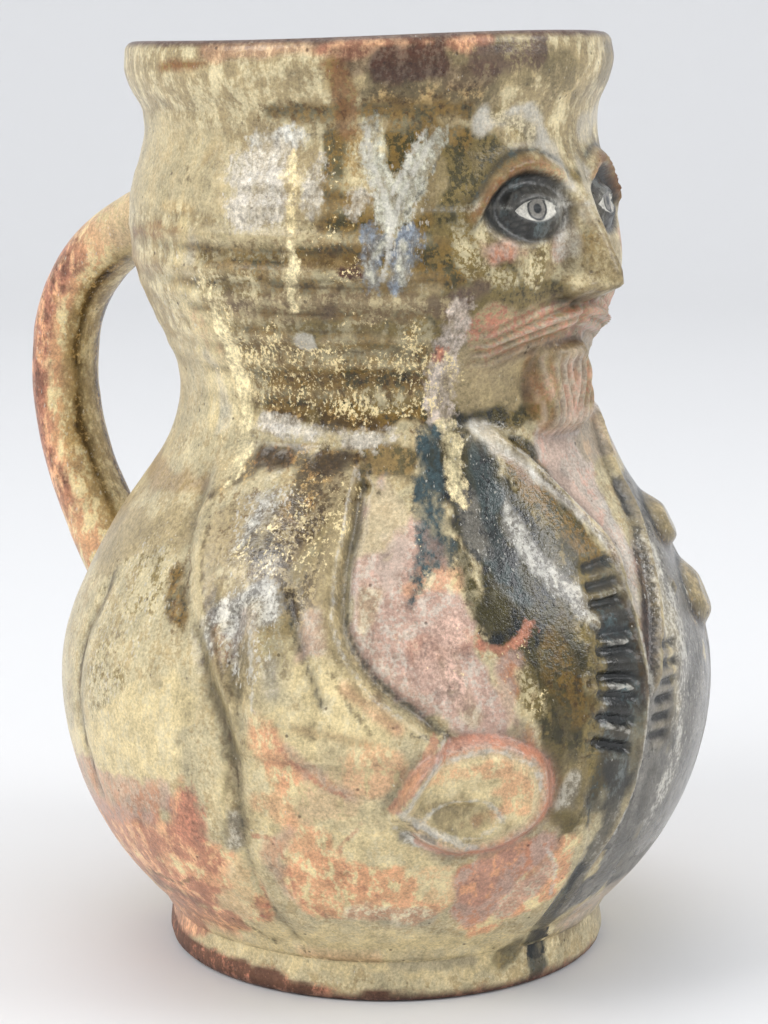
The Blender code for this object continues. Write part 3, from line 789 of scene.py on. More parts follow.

# Areas of glaze on both sides, painted in this order: glaze, strength and the middle line of the
# area as angle/height/half width in mm.
# The frost streak down the olive panel is a painted highlight, the sheen of the glaze.
GLAZES_ALL_ROUND = """
# Rim and neck
stone 1 -180/236/14 180/236/14
celadon 1 8/238/9 57/238/8
moss 1 8/190/38 52/190/36
stone 1 66/222/17 96/218/18 180/214/20
cream 0.8 92/216/10 118/218/12 150/220/10
stone 1 104/176/24 180/176/26
cream 0.9 112/160/12 180/162/16
golden 0.75 42/226/5 48/208/8 60/200/8
golden 0.9 31/232.5/2.6 54/232/2.8
golden 0.85 60/232/2.6 77/232/2.4
golden 0.8 33/226/3 46/226/4.5
celadon 0.7 40/216/4 46/210/4
golden 0.9 61/224/3 61/206/4.5 58/198/4
ochre 0.5 57/226/2.6 58/214/2.2
golden 1 57/197/4.2 70/196/4.6
golden 0.6 60/188/3 84/188/3
golden 1 32/193/3.6 44/192/2.6
golden 0.7 32/200/3 42/199/3
golden 0.9 74/194/2.4 98/193/2.2
khaki 0.8 73/197.5/1.6 98/197/1.8
pepper 0.9 68/201.5/2.6 97/200/2.6
khaki 0.8 84/188/3.4 99/187/4
stone 0.8 40/188.6/1.6 86/188.2/1.6
banded 0.75 36/184/3.4 88/183/3.4
bark 0.5 59/196/2.4 68/195.5/3
khaki 0.5 42/178/2.4 92/178/2.2
celadon 0.95 45/168/8.5 88/168/8.5
golden 0.85 48/168/8 86/168/8
stone 0.6 46/172/1.8 90/171/1.8
golden 0.8 50/164/4 72/163/4 84/160/3
bark 0.5 60/160/3 78/159/3
banded 0.4 64/174.5/2 92/174/2.4
golden 1 44/156.5/3.4 60/156/3.6
golden 1 62/157/5 82/157/4.6
bark 0.85 58/154/2.8 70/154.5/3.6 84/154/3
khaki 0.8 49/159/1.6 56/159.5/2.4
khaki 0.6 70/164/1.2 73/154/2
celadon 1 16/168/11 30/167/10
deep 0.8 22/154.5/2.2 35/154/2.2
straw 1 101/203/3 100/188/7 100/168/9.5 98/146/8.5
butter 0.95 105/186/3.4 101/174/5 98.5/160/6 96.5/142/5.6
salmon 0.4 103/178/2.6 100/170/2.6
chalk 0.5 104/168/3 102/152/4 101/143/4
khaki 0.6 93/186/4 91/168/4 90/156/3
chalk 0.5 98/201/2.6 99/193/3
rust 0.7 102/201.5/1.6 112/201/2.4 128/199/1.6
rust 0.3 106/192/2.2 124/191/2.6 150/190/2
ochre 0.5 98/207.5/1.2 109/207.5/1.4
rust 0.3 92/223/1.6 96/220/1.8
brick 0.8 28/248.5/2.6 62/248/2.8 64/247/1.6
brick 0.45 64/248/2 92/247.5/2.2
oxblood 0.95 39/243.5/3.8 50/242.5/3.8
bark 0.5 30/236/2.4 52/236/2.4
oxblood 0.6 52/245/3 60/245/3
mauve 0.9 16/245/4.5 28/244/4
oxblood 0.5 26/240/1.8 35/239/2.2
rust 0.75 61/243/3 59/236/3.4 58/228/3
rust 0.9 92/244/0.8 102/244/1.2 107/243.4/1.4
oxblood 1 -180/251/1.8 180/251/1.8
# The whole belly, then the coat between the lapel and the sleeve
cream 1 -180/80/69 180/80/69
olive 1 16/140/10 22/118/14 24/96/14 24/76/9 22/58/7
moss 1 10/118/4 13/104/7 15/90/8 17/72/7 18/62/4
deep 1 36/145/9 30/126/11 27/108/9 34/108/6
olive 0.9 20/104/4 22/92/7 24/84/6
golden 0.95 21/141/2 17/134/4 13/126/4.4 10/119/3
rust 0.6 27/147.5/0.8 22/142.5/1 17/136/0.8
deep 0.55 20/124/4 23/108/6 24/92/7 24/80/5
golden 0.4 24/102/3 22/88/4
frost 0.75 27/137/1 26/126/1.8 23.5/120/2.4 20.5/114/2.8 17/108/2.6 15/104/1.2
lilac 0.9 29/151/3 23/146/2.8 18/141.5/2.2 13/135/1.5 8.5/128/1 5.5/121/0.8
teal 0.8 31/146/3 31/134/3.4 31/120/4 30/112/3
slate 0.6 36/135/2.2 34.5/124/2.6
frost 0.4 33/113/2.4 31/112/1.8
flesh 0.7 34/96/4 34/86/4 31/77/2
khaki 0.7 31/93/3 29.5/86/3
golden 0.5 25/97/4 22/84/4
moss 0.6 26/74/5 24/62/6 22/52/3
celadon 0.4 22/70/3 21/60/3.4
frost 0.5 22/66/3 24/60/3
golden 0.85 50/145/4 56/143/5
rose 1 54/131/7 52/118/12 49/106/15 46/95/11 37/82/6
cream 0.8 52/134/5 57/127/4
shirt 0.6 52/124/4 54/116/4
stone 0.5 57/114/3 58/106/2.4
celadon 0.5 44/100/2.4 43/92/2.6 40/84/2.4
salmon 0.6 41/117/3 46/119/2.6 49/115/2
brick 0.4 41/103/3 48/101/3
frost 0.45 42/93/2.6 45/91/2.6
mauve 0.45 32/80/3 36/77/3
# Shoulder, sleeve and side
celadon 0.9 61/134/2.4 64/118/2.4 62/102/2.4 56/91/1.4
stone 1 68/134/8 76/118/16 80/104/14
beige 0.9 64/134/3 66/118/4 66/108/4
rose 0.4 67/112/2 65/102/2.4
celadon 0.7 70/132/7 78/122/12
bark 0.85 66/140/4 71/132/6 74/124/6
moss 0.6 86/108/3 84/96/4 82/86/3
moss 0.55 68/128/5 73/118/6 73/104/5 70/96/3
peppered 0.95 68/137/5 73/129/7 77/120/6.5 72/114/3
slate 0.5 82/134/4 78/122/4
peppered 0.8 64/130/1.6 66/122/2.4 69/114/2.8 68/106/1.4
bark 0.9 64/144.5/3 72/143/3 72/134/3.6
iron 0.5 66/143/2 72/142/2
bark 0.8 76/145/2.6 86/144/3.2 90/139/2.4 97/134/2
iron 0.8 79/144.5/2.2 86/144.5/2.4
frost 0.7 83/133/3.5 84/127/2.6
beige 0.9 87/130/5 89/118/5
frost 0.9 77/111/5.5 83/107/6 79/100/5.5
shirt 0.5 78/109/2.4 78/103/2
moss 0.5 71/106/1.6 67/98/1.6
moss 0.5 76/96/2 80/88/2.4
celadon 0.8 77/102/2.4 76/93/3 79/87/2.4
frost 0.5 73/98/1.6 72/91/1.4
rose 0.7 66/108/3 66/100/3.4 63/94/2.4
rust 0.7 84/104/1.6 82/97/2.4
cream 0.9 97/130/2.4 92/114/3 87.5/99/2.6
golden 1 97.5/115/3 96/108/3.4 92/102/2
ochre 0.5 97/112/1.4 95/106/1.4
rust 0.45 102/135/3 116/134/3 150/136/3
beige 0.9 104/122/6 124/118/9 160/116/9
pepper 0.8 104/112/8 116/104/8 112/88/7
cream 0.8 112/108/5 120/92/12 180/96/22
pepper 0.8 107/86/4.5 110/74/4
straw 1 92/84/8 98/74/13 112/60/10 140/56/10
cream 0.6 118/76/5 124/84/6
straw 1 64/92/8 58/82/9 68/78/12 72/60/16 54/48/12
salmon 0.75 73/82/4 71/74/5 66/68/3
salmon 0.8 68/56/5 66/46/8 60/42/6
salmon 0.6 56/74/7 60/66/6 74/62/4
cream 0.6 62/78/3 66/62/4 56/60/4
flesh 0.6 72/80/1.6 66/72/2.4 60/66/1.6
flesh 0.6 70/54/1.4 74/46/2.4 72/34/2
brick 0.6 52/83.5/1.8 60/93/1.8
rust 0.4 56/80/1 68/83/1.2
salmon 0.9 73/79/4.5 70/72/3
celadon 0.7 82/92/4.5 79/78/4 79/64/3.2 80/52/3 78/42/2
moss 0.4 80/84/2.4 79/74/2.4
frost 0.6 80/56/1.8 81/48/1.8
brick 0.85 90/64/2.4 90/54/6 91/44/8
# Low on the body
salmon 0.95 86/34/12 110/38/12 180/32/12
brick 0.75 84/40/3 98/46/6 112/42/7 140/40/6 180/38/6
brick 0.8 86/28/3 104/30/5 130/28/5
mauve 0.5 92/22/2.4 112/26/3
salmon 0.9 46/36/9 66/38/9
straw 0.7 78/46/3 84/30/5 88/22/4
straw 0.9 30/13/7 60/16/8 84/14/7 180/14/8
straw 0.6 48/44/5 44/38/4
frost 0.4 46/28/3 60/30/3
slate 0.45 33/10/2.4 52/11/2
brick 0.4 56/12/1.5 74/13/1.5
brick 0.85 90/20/3 102/19/5 124/14/9 150/10/9
cream 0.7 160/48/4 168/36/8 172/24/4
flesh 0.7 94/58/4 112/52/8 140/48/8
"""

# Areas of the front alone, where the two sides differ.
GLAZES_IN_FRONT = """
shirt 1 -24/147/9 6/147/9 1/132/8 -1/118/5 2/106/3.2 4/96/1.6
chalk 0.5 -3/128/3 -1/116/3 2/104/1.6
celadon 0.55 -26/144/6 -10/142/6
rose 0.45 4/145/5 9/140/3 3/128/3
slate 1 -20/124/12 -16/118/8 -14/96/11 -12/74/13 -8/50/14 -6/30/10
slate 1 0/104/2.6 1.5/92/6 2/78/9 4/62/9 6/46/8 6/28/7
slate 1 -34/124/14 -32/98/18 -32/74/20 -27/48/18 -20/28/12
smoke 0.6 -17/112/2.6 -13/92/3 -10/72/3 -4/46/3
frost 0.75 -9/116/4 -6/98/4.5 -5/80/4.5 -4/62/4 0/46/3
smoke 0.6 -1/74/4 2/60/5 5/48/5 4/34/5
smoke 0.9 14/80/5.5 14/64/5.4 14/46/4.4 13/24/3.6 11/14/2.6
ink 0.6 18/58/1.6 16/57/1.6
salmon 1 22/48/3 28/38/12 34/28/8
mauve 0.4 27/54/3 28/46/4.5 26/38/3
flesh 0.9 29/48/6 35/40/9 36/28/6
brick 0.6 30/50/3 36/44/5 38/34/4
rose 0.6 24/40/3 30/30/4
stone 1 -60/15/6 -20/15/7 4/15/8
shirt 0.7 -10/18/5 4/17/5
ink 0.85 16/36/2 16/24/3.4 14/13/4.6 12/6/3
olive 0.7 20/12/3 24/9/2
# Face
stone 0.85 -30/206/12 -12/200/14 12/200/13 22/202/8
khaki 0.5 30/208/5 31/196/5
stone 0.95 -26/230/7 0/226/9 20/231/6
chalk 0.8 26/229/2.4 14/230/3.6 7/222/3.4 5/214/2.4
chalk 0.5 -4/216/4 0/206/3
chalk 0.5 -24/230/3 -8/226/3
khaki 0.7 12/226/2.4 24/231/1.6
khaki 0.85 14/198/2 17/191/3
khaki 0.7 22/190/2.4 33/195/2.6 37/203/2
golden 0.5 4/200/1.4 3/192/1.8
rose 0.8 9/204/2.4 10/196/2.2
lilac 0.7 10/208/3 8/198/2.6
flesh 0.9 24/197.5/4
flesh 0.8 -24/197.5/4
golden 0.5 1/208/2 1/192/3.4
mauve 0.8 30/189/2 34/186/2.4
mauve 0.7 -28/190/3 -34/186/3.2
hair 0.9 -34/178/4 -12/178/5 0/179/4 12/178/5 34/178/4
mauve 0.5 -26/172/2.6 0/170/2 26/172/2.6
beige 0.9 16/166/8 30/166/9
beige 0.9 -16/166/8 -30/166/9
hair 0.9 -6/160/6 6/160/6
shirt 0.6 0/167/3 1/156/4.5
rust 0.6 12.5/170/1.2 12/158/1.6 9/151/1.6
"""

# Pools with a crisp, torn edge, in three layers: glaze and middle line.
CRISP_POOLS = {
    "pool": """
shirt 34/183/3 36/176/4 38/166/4 39/154/3
lilac 66/220/1.6 67/209/2.6
lilac 76/222/5 84/217/5 77/210/6 84/207/4
chalk 71/226/2.4 82/225/2.2
opal 38/226/2.4 42/220/3.2 46/213/3.6 49/206/3
opal 53/229/1.8 54/222/2.6 51/213/3 50/206/3
violet 46/202/3 47/196/3.2 49/191/3
violet 54/202/3 54/196/2.6 54/191/2.6
lilac 52/151.5/1.2 58/149.5/2.4 64/149.5/1.8
lilac 70/151/1.4 79/151.5/2.8 88/153/2
brick 28.5/105/1.4 30.5/102.4/1.4 34/100.4/0.9 38/101.5/1.6
rose 40/110/1.5 44/104/4.5 46/97/5 42/90/3
brick 88/60/3 90/50/5
lilac 56/211/2.8 57/209/2.6
""",
    "run": """
straw 72/221/1.4 71.5/204/1.3
butter 72/200/1.4 72/194/1.6 72.5/187/2 72.5/183/0.6
butter 95.5/190/1.4 95/176/2.2 93.6/162/2.8 92.6/146/3.2 92/138/1.4
butter 37.4/152/2.9 37.4/143/2.4 37.2/137/1.9 36/134/1
olive 33/112/3.4 34.5/106/3.6 34.5/103/3.4
olive 39.5/124/2 38.5/116/2 37/109/2.6
oxblood 57/192.5/1.4 60/193/1
brick 38/172/1.4 39.5/171/1.4
bark 63/145.5/1.6 69/144/2.4 70/148/0.8
bark 80/144/2 86/145/1.6
ink 14/15/2 12/10/3.6
brick 80/29/2.2 79.5/25.5/1.4
""",
    "drip": """
teal 42.5/150/2.8 43.5/143/3.2 44.5/136/3.4 44.5/129/4 44/124/5
teal 46.5/123/2.4 48.6/117/1.2 50/111/0.8
ink 31/127/1.6 31.5/121/1.8 32/117/1
ink 32.5/103.4/1.4 36/102.6/1.4
opal 47/199/0.8 48/194/1 47/190.4/1.2
opal 52/200/0.8 55/195/0.9 54/190.6/1.2
""",
}

# How the surface is broken up: strength and the area.
CREAM_SPECKLE = """
0.85 44/166/11 88/166/11
0.6 44/180/4 90/180/6
0.6 96/190/6 98/150/9
0.6 62/222/5 62/192/5
0.8 70/130/12 78/122/8
0.5 33/96/6 30/86/6
0.35 72/195/6 92/194/6
0.3 40/208/8 56/226/6
0.35 46/100/12 54/118/12
0.35 104/120/14 118/100/14
"""
WHITE_CRYSTALS = """
0.4 26/128/4 22/117/5 17/108/4
0.3 68/216/7 84/214/9
0.8 83/132/5 79/136/4
0.4 24/151/3 60/151/3 90/150/3
0.5 106/110/14 110/84/10
0.6 78/112/8 76/98/6
0.3 30/140/8 42/146/6 32/122/6
0.4 -16/110/14 -10/70/14
0.6 42/222/5 50/196/7
0.35 100/196/8 120/170/14
"""
IRON_MOTTLE = """
0.8 44/160/10 86/160/12
0.8 30/232/4 80/232/4
0.7 56/197/9 94/194/6
0.8 66/142/8 78/126/10 94/136/5
0.7 24/100/12 22/80/10
0.8 94/103/3 97/114/4
0.6 108/98/4 109/80/4
0.5 78/78/3 79/50/3
0.5 36/240/9 60/240/8
0.6 -20/196/10 20/196/10
0.3 46/96/9 52/112/9
0.3 60/60/20 72/40/18
"""
GLOSSY = """
0.16 20/146/10 28/120/14 22/96/12 14/70/12 10/30/12
0.14 -20/130/20 -12/90/18 -8/50/16
0.14 46/190/8 52/222/10
0.1 60/160/14 88/164/14
0.12 44/146/6 45/126/6
0.16 68/140/10 80/126/10
0.1 76/216/12 90/214/10
"""


class Glaze:
    """The ground glaze of a piece: a colour, the one it breaks to, its share and fineness at each point."""

    def __init__(self, colours, shape, first):
        self.recipes = {name: np.array((*getattr(colours, own), *getattr(colours, other), share, fineness))
                        for name, own, other, share, fineness, _ in rows(BREAKS)}
        self.base = np.zeros(shape + (8,)) + self.recipes[first]

    def lay(self, name, share):
        """Move the glaze towards another one by a share at each point."""
        self.base = self.base + share[..., None] * (self.recipes[name] - self.base)

    def keep(self, piece):
        """Store it in the two colour attributes that the material reads."""
        store(piece, "ground", self.base[..., [0, 1, 2, 6]])
        store(piece, "under", self.base[..., [3, 4, 5, 7]])


def both_sides(wall, points):
    """Mm inside an area that the hidden side repeats, turned round and a little out of step."""
    far = wall.far_side(5 * np.sin(wall.z / 23) - 4)
    return np.maximum(wall.inside(points), far.inside(points))


def tears(wall):
    """Noise in mm that tears the edges of glaze: lumps of 7, 3 and 1.5 mm, drawn out down the pot."""
    return [2.8 * wall.noise(7, seed, 1.8) + 1.8 * wall.noise(3, seed + 1, 1.6)
            + 0.8 * wall.noise(1.5, seed + 2, 1.3) for seed in range(60, 78, 3)]


def covered(reach, points, torn, strength):
    """Share of glaze at each point: eased over the edge of an area once the edge is torn."""
    torn = torn * min(1, max(point[2] for point in points) / 5)
    return strength * ease(-SOFT_EDGE, SOFT_EDGE, reach + torn)


def laid(wall, torn, areas):
    """Strongest of several areas at each point, from 0 to 1; both sides carry them."""
    most = np.zeros(wall.z.shape)
    for strength, points in rows(areas):
        most = np.maximum(most, covered(both_sides(wall, points), points, torn, strength))
    return most


def ground_glaze(wall, torn, glaze):
    """The ground glaze: areas in order, each with its own torn edge, then the throwing rings."""
    for table, reach in ((GLAZES_ALL_ROUND, both_sides), (GLAZES_IN_FRONT, Wall.inside)):
        for number, (name, strength, points) in enumerate(rows(table)):
            glaze.lay(name, covered(reach(wall, points), points, torn[number % len(torn)], strength))
    shown = ring_strength(wall) * ease(-3.5, 1.2, torn[1])
    for height, rise in THROWING_RINGS:
        over = wall.z - height - ring_tilt(wall)
        groove = bell(over + 3.4, 1.5) * ease(206, 202, wall.z)
        glaze.lay("stone", 1.3 * rise * bell(over, 1.7) * shown)
        glaze.lay("golden", 1.4 * rise * groove * shown)


def coat_glaze(wall, glaze):
    """Glaze that follows the carving: ladders, lapel edges, seams, cuff, fist and ornament, with painted
    shadow beside the far lapel and under the ornament's lobes.
    """
    z = wall.z
    near = wall.side_of(LAPEL)
    far = -wall.side_of(FAR_LAPEL)
    ladder = ease(0.4, 2, near) * ease(0.9, -0.9, near - 12.6 - 0.07 * (117 - z))
    ladder *= band(z, 52, 62, 116, 120)
    glaze.lay("ink", (0.70 + 0.25 * ease(74, 84, z) - 0.45 * ease(105, 110, z)) * ladder)
    shadow = bell(far + 2.2, 2.2) * band(z, 80, 86, 112, 124)
    glaze.lay("oxblood", 0.8 * shadow)
    for side in (wall, wall.far_side()):
        edge = bell(side.side_of(SLEEVE_FRONT) - 2.6, 2.6) * band(z, 84, 94, 138, 146)
        glaze.lay("celadon", 0.6 * edge)
        fist = side.oval(*FIST) + 0.05 * side.noise(6, 41)
        glaze.lay("straw", 0.8 * ease(1, 0.8, fist))
        glaze.lay("flesh", 0.9 * bell(fist - 0.95, 0.14) * ease(52, 46, side.angle))
        palm = ease(0.84, 0.68, fist)
        clouds = side.noise(8, 42, 0.6) + 0.5 * side.noise(3, 43)
        glaze.lay("salmon", 0.7 * palm * ease(0, 0.4, clouds))
        glaze.lay("celadon", 0.8 * palm * ease(-0.15, -0.5, clouds))
        glaze.lay("celadon", 0.45 * ease(1, 0.7, side.oval(*PALM)))
        glaze.lay("frost", 0.7 * ease(1, 0.8, side.oval(*THUMB)))
    for middle in BREAST_LOBES:
        lobe = wall.oval(*middle)
        glaze.lay("celadon", 0.9 * ease(1.05, 0.7, lobe))
        # Painted shadow in bark under the lower edge of each lobe.
        under = bell(lobe - 1.02, 0.16) * ease(middle[1] + 3, middle[1] - 3, z)
        glaze.lay("bark", 0.95 * under)


def face_glaze(wall, sizes, glaze):
    """Glaze that follows the face: dark hollows, pale eyeballs, rusty brow, pink hair, and painted shadow
    under the moustache and between the lips.
    """
    x = across_face(wall, sizes)
    z = wall.z
    over = z - NOSE_BASE
    in_front = ease(50, 40, np.abs(wall.angle))
    hollow = np.hypot((x - 1.12 * EYE) / (0.86 * EYE), (z - EYE_LEVEL - 0.5) / (0.56 * EYE))
    outer = ease(4, 18, x)
    glaze.lay("smoke", 0.9 * ease(1.12, 0.85, hollow) * in_front)
    glaze.lay("ink", 0.85 * ease(1.10, 0.8, hollow) * outer * in_front)
    streaks = ease(0.2, 0.8, np.sin(2.1 * hollow * EYE + 2 * wall.noise(9, 16)))
    glaze.lay("slate", 0.30 * streaks * ease(1, 0.7, hollow) * in_front)
    ball, opening, fold = eye_shape(x, z)
    glaze.lay("frost", 0.35 * bell(fold - 1.2, 0.6) * in_front)
    arch = brow_arch(x)
    ends = band(x, 3.5, 8, 33, 38) * in_front
    glaze.lay("rust", 0.85 * bell(z - arch, 1.9) * ends * ease(6, 16, x))
    glaze.lay("salmon", 0.5 * bell(z - arch + 1, 1) * ends * ease(20, 8, x))
    glaze.lay("ink", 0.75 * bell(z - arch - 3.2, 0.8) * ends)
    glaze.lay("ink", 0.6 * bell(z - arch + 3, 1) * ends)
    lock = bell(over - moustache_sweep(x) + 0.6, 5) * band(x, 0, 4, 28, 38)
    glaze.lay("hair", 0.8 * lock)
    # Painted shadow in mauve under the moustache.
    under = bell(over - moustache_sweep(x) + 6.4, 1.6) * band(x, 2, 6, 20, 30)
    glaze.lay("mauve", 0.6 * under)
    glaze.lay("shirt", 0.55 * lock * ease(0, 0.8, moustache_strands(wall, x)))
    glaze.lay("mauve", 0.55 * lock * ease(-0.2, -0.9, moustache_strands(wall, x)))
    glaze.lay("ink", 0.7 * bell(x - 8.4, 1.8) * bell(over - 0.4, 1.4))
    glaze.lay("ink", 0.85 * bell(x - 4.2, 1.6) * bell(over + 0.6, 1.4))
    glaze.lay("celadon", 0.7 * bell(x, 6) * bell(over - 8, 7))
    # Painted shadow in oxblood between the lips.
    glaze.lay("oxblood", 0.6 * bell(x, 9) * bell(z - MOUTH, 0.9))
    curls = beard_curls(wall, x)
    inside_beard = ease(14, 11, x) * band(z, 146, 150, 168, 172)
    glaze.lay("shirt", 0.45 * inside_beard * ease(0.2, 0.9, curls))
    glaze.lay("rust", 0.40 * inside_beard * ease(-0.3, -0.9, curls))


def eye_field(wall, sizes):
    """Mm inside the white of the eye, the iris with its dark ring, the iris and the pupil."""
    x = across_face(wall, sizes)
    opening = np.where(np.abs(wall.angle) < 50, eye_shape(x, wall.z)[1], -4)
    iris = np.hypot(x - EYE, wall.z - EYE_LEVEL)
    return np.stack([opening] + [np.minimum(opening, radius - iris) for radius in (3.1, 2.5, 1.3)], -1)


def between(value, low, high, z):
    """Mm inside a line that fades out beyond two heights."""
    return value - 6 * (1 - band(z, low - 4, low, high, high + 4))


def line_field(wall):
    """Mm inside the thin lines that follow the carving: dark, brown, pale and red."""
    z = wall.z
    kinds = {"dark": [], "brown": [], "pale": [], "red": []}
    for lobe in BREAST_LOBES:
        kinds["dark"].append(0.7 - 9 * np.abs(wall.oval(*lobe) - 1.04))
    for number, (notch, ridge) in enumerate(ladder_steps()):
        kinds["dark"].append(1.4 - wall.distance(notch))
        # Every other ridge gets a pale line: glaze running thin over it, and a painted glint.
        if number % 2:
            kinds["pale"].append(0.4 - wall.distance(ridge))
    for notch in far_ladder_steps():
        kinds["dark"].append(1 - wall.distance(notch))
    beside_face = bell(np.abs(wall.angle) - 68, 26) * ease(34, 52, np.abs(wall.angle))
    for height, rise in THROWING_RINGS:
        over = z - height - ring_tilt(wall)
        kinds["brown"].append(0.9 * rise - np.abs(over + 3.2) - 3 * (1 - beside_face))
    for side in (wall, wall.far_side()):
        edges = {"lapel": wall.side_of(LAPEL), "far_lapel": -wall.side_of(FAR_LAPEL),
                 "sleeve": side.side_of(SLEEVE_FRONT), "seam": -side.side_of(SLEEVE_BACK)}
        for kind, half, edge, off, low, high, _ in rows(LINES_ALONG):
            kinds[kind].append(between(half - np.abs(edges[edge] - off), low, high, z))
        upper = 0.8 * ease(100, 118, z)
        kinds["dark"].append(between(0.6 - np.abs(edges["sleeve"] + 0.9) - upper, 80, 146, z))
        fist = side.oval(*FIST) + 0.05 * side.noise(6, 41)
        behind = 6 * ease(49, 53, side.angle)
        kinds["red"].append(0.9 - 14 * np.abs(fist - 1.02) - behind)
        kinds["pale"].append(0.4 - 14 * np.abs(fist - 0.82) - behind - 6 * ease(66, 60, z))
        kinds["pale"].append(0.2 - 5 * np.abs(side.oval(*PALM) - 1))
        for kind, half, points in rows(THIN_LINES):
            kinds[kind].append(half - side.distance(points))
    return np.stack([np.maximum(np.max(kind, axis=0), OFF_LINE) for kind in kinds.values()], -1)


def pooled_glaze_and_painted_shade(relief, glaze):
    """Glaze runs thin and pale over ridges and pools dark in grooves, read from the relief's own blur; the
    dark in the grooves is also painted shade, and the pale on the ridges is also painted highlight.
    """
    blurred = relief.copy()
    for _ in range(BLUR_ROUNDS):
        for axis in (0, 1):
            blurred = (np.roll(blurred, 1, axis) + 2 * blurred + np.roll(blurred, -1, axis)) / 4
    sharp = relief - blurred
    # Painted shade in the grooves, on top of the darker pooled glaze.
    glaze.base[..., :6] *= (1 - 0.50 * np.clip(-1.3 * sharp, 0, 1))[..., None]
    broken = glaze.base[..., 6:]
    # Painted highlight on the ridges, on top of the glaze running thin there.
    glaze.lay("stone", 0.50 * np.clip(1.2 * sharp, 0, 1))
    glaze.base[..., 6:] = broken


class PITCHER_OT_body(bpy.types.Operator):
    """Model the hollow body with its face, coat and rim, and lay its glaze"""

    bl_idname = "pitcher.body"
    bl_label = "Body"

    def execute(self, context):
        """Radius is the turned outline plus the relief, on a grid of angle by height that closes."""
        sizes = in_mm(context.scene.pitcher_sizes)
        radius, height, on_wall = profile_rows(sizes)
        middle = math.radians(FINE_COLUMNS_AT)
        even = np.linspace(-math.pi, math.pi, COLUMNS, endpoint=False)
        turn = even - CROWDING * np.sin(even - middle)
        turn = (turn + math.pi) % (2 * math.pi) - math.pi
        z, turn = np.meshgrid(height, turn, indexing="ij")
        wall = Wall(np.degrees(turn), np.clip(z, FOOT_TOP, LIP_FOOT), sizes)
        relief = face_relief(wall, sizes) + coat_relief(wall, sizes) + making_marks(wall)
        relief = relief + strap_root_fillet(wall, sizes)
        relief *= band(z, FOOT_TOP - 2, FOOT_TOP + 3, LIP_FOOT - 3, LIP_FOOT + 1)
        relief *= on_wall[:, None]

        high = ease(222, 244, z)
        push = sizes.lip_push * bell(wall.angle, 17) * high
        rim_wave = 0.35 * np.sin(3 * turn + 0.8) * ease(236, 248, z)
        r = radius[:, None] + relief + push * (radius[:, None] > 1)
        top = z + (RIM_RISE * np.cos(turn) + rim_wave) * high
        points = np.stack([-r * np.sin(turn), neck_lean(z, sizes) - r * np.cos(turn), top], -1) * MM
        piece = sheet("body", points)

        painted = Wall(np.degrees(turn), z, sizes)
        torn = tears(painted)
        glaze = Glaze(context.scene.pitcher_glaze, z.shape, "cream")
        ground_glaze(painted, torn, glaze)
        pooled_glaze_and_painted_shade(relief, glaze)
        coat_glaze(painted, glaze)
        face_glaze(painted, sizes, glaze)
        inside = (np.arange(len(height)) < np.argmax(on_wall))[:, None] & (z < LIP_FOOT)
        inside = inside & (radius < plain_radius(height, sizes) - 1)[:, None]
        glaze.lay("speckled", 0.9 * inside)
        bared = 2.6 + 4.2 * bell(wall.angle - 98, 26) + 7 * bell(wall.angle - 142, 18)
        foot = ease(0.7, -0.7, z - bared + 0.35 * torn[0]) * ~inside
        glaze.lay("clay", foot)
        glaze.lay("oxblood", 0.7 * ease(2.6, 1.2, z) * ~inside)
        glaze.lay("oxblood", 0.9 * ease(LIP_FOOT + 1.2, LIP_FOOT + 2.4, z))
        glaze.keep(piece)
        bare = inside | (foot > 0.3)
        for name, pools in CRISP_POOLS.items():
            store(piece, name, pool_field(painted, pools, glaze, bare))
        store(piece, "lines", np.where(bare[..., None], OFF_LINE, line_field(painted)))
        store(piece, "eyes", eye_field(painted, sizes))
        rough = ROUGHNESS - laid(painted, torn[0], GLOSSY) + 0.25 * foot
        speckle = laid(painted, torn[1], CREAM_SPECKLE) * ~bare
        crystals = laid(painted, torn[2], WHITE_CRYSTALS) * ~bare
        mottle = np.maximum(laid(painted, torn[3], IRON_MOTTLE), 0.12)
        store(piece, "finish", np.stack((speckle, crystals, mottle, rough), -1))
        piece.data.materials.append(ash_glaze())
        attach(piece, "root")
        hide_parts("pitcher")
        return {"FINISHED"}


def pool_field(wall, pools, glaze, bare):
    """For one list of pools: the nearest pool's colour, and how far inside it each point lies in mm."""
    field = np.zeros(wall.z.shape + (4,))
    field[..., 3] = FAR_OUTSIDE
    for name, points in rows(pools):
        reach = both_sides(wall, points)
        nearer = reach > field[..., 3]
        field[..., 3] = np.where(nearer, reach, field[..., 3])
        field[..., :3] = np.where(nearer[..., None], glaze.recipes[name][:3], field[..., :3])
    field[..., 3] = np.where(bare, FAR_OUTSIDE, np.maximum(field[..., 3], FAR_OUTSIDE))
    return field


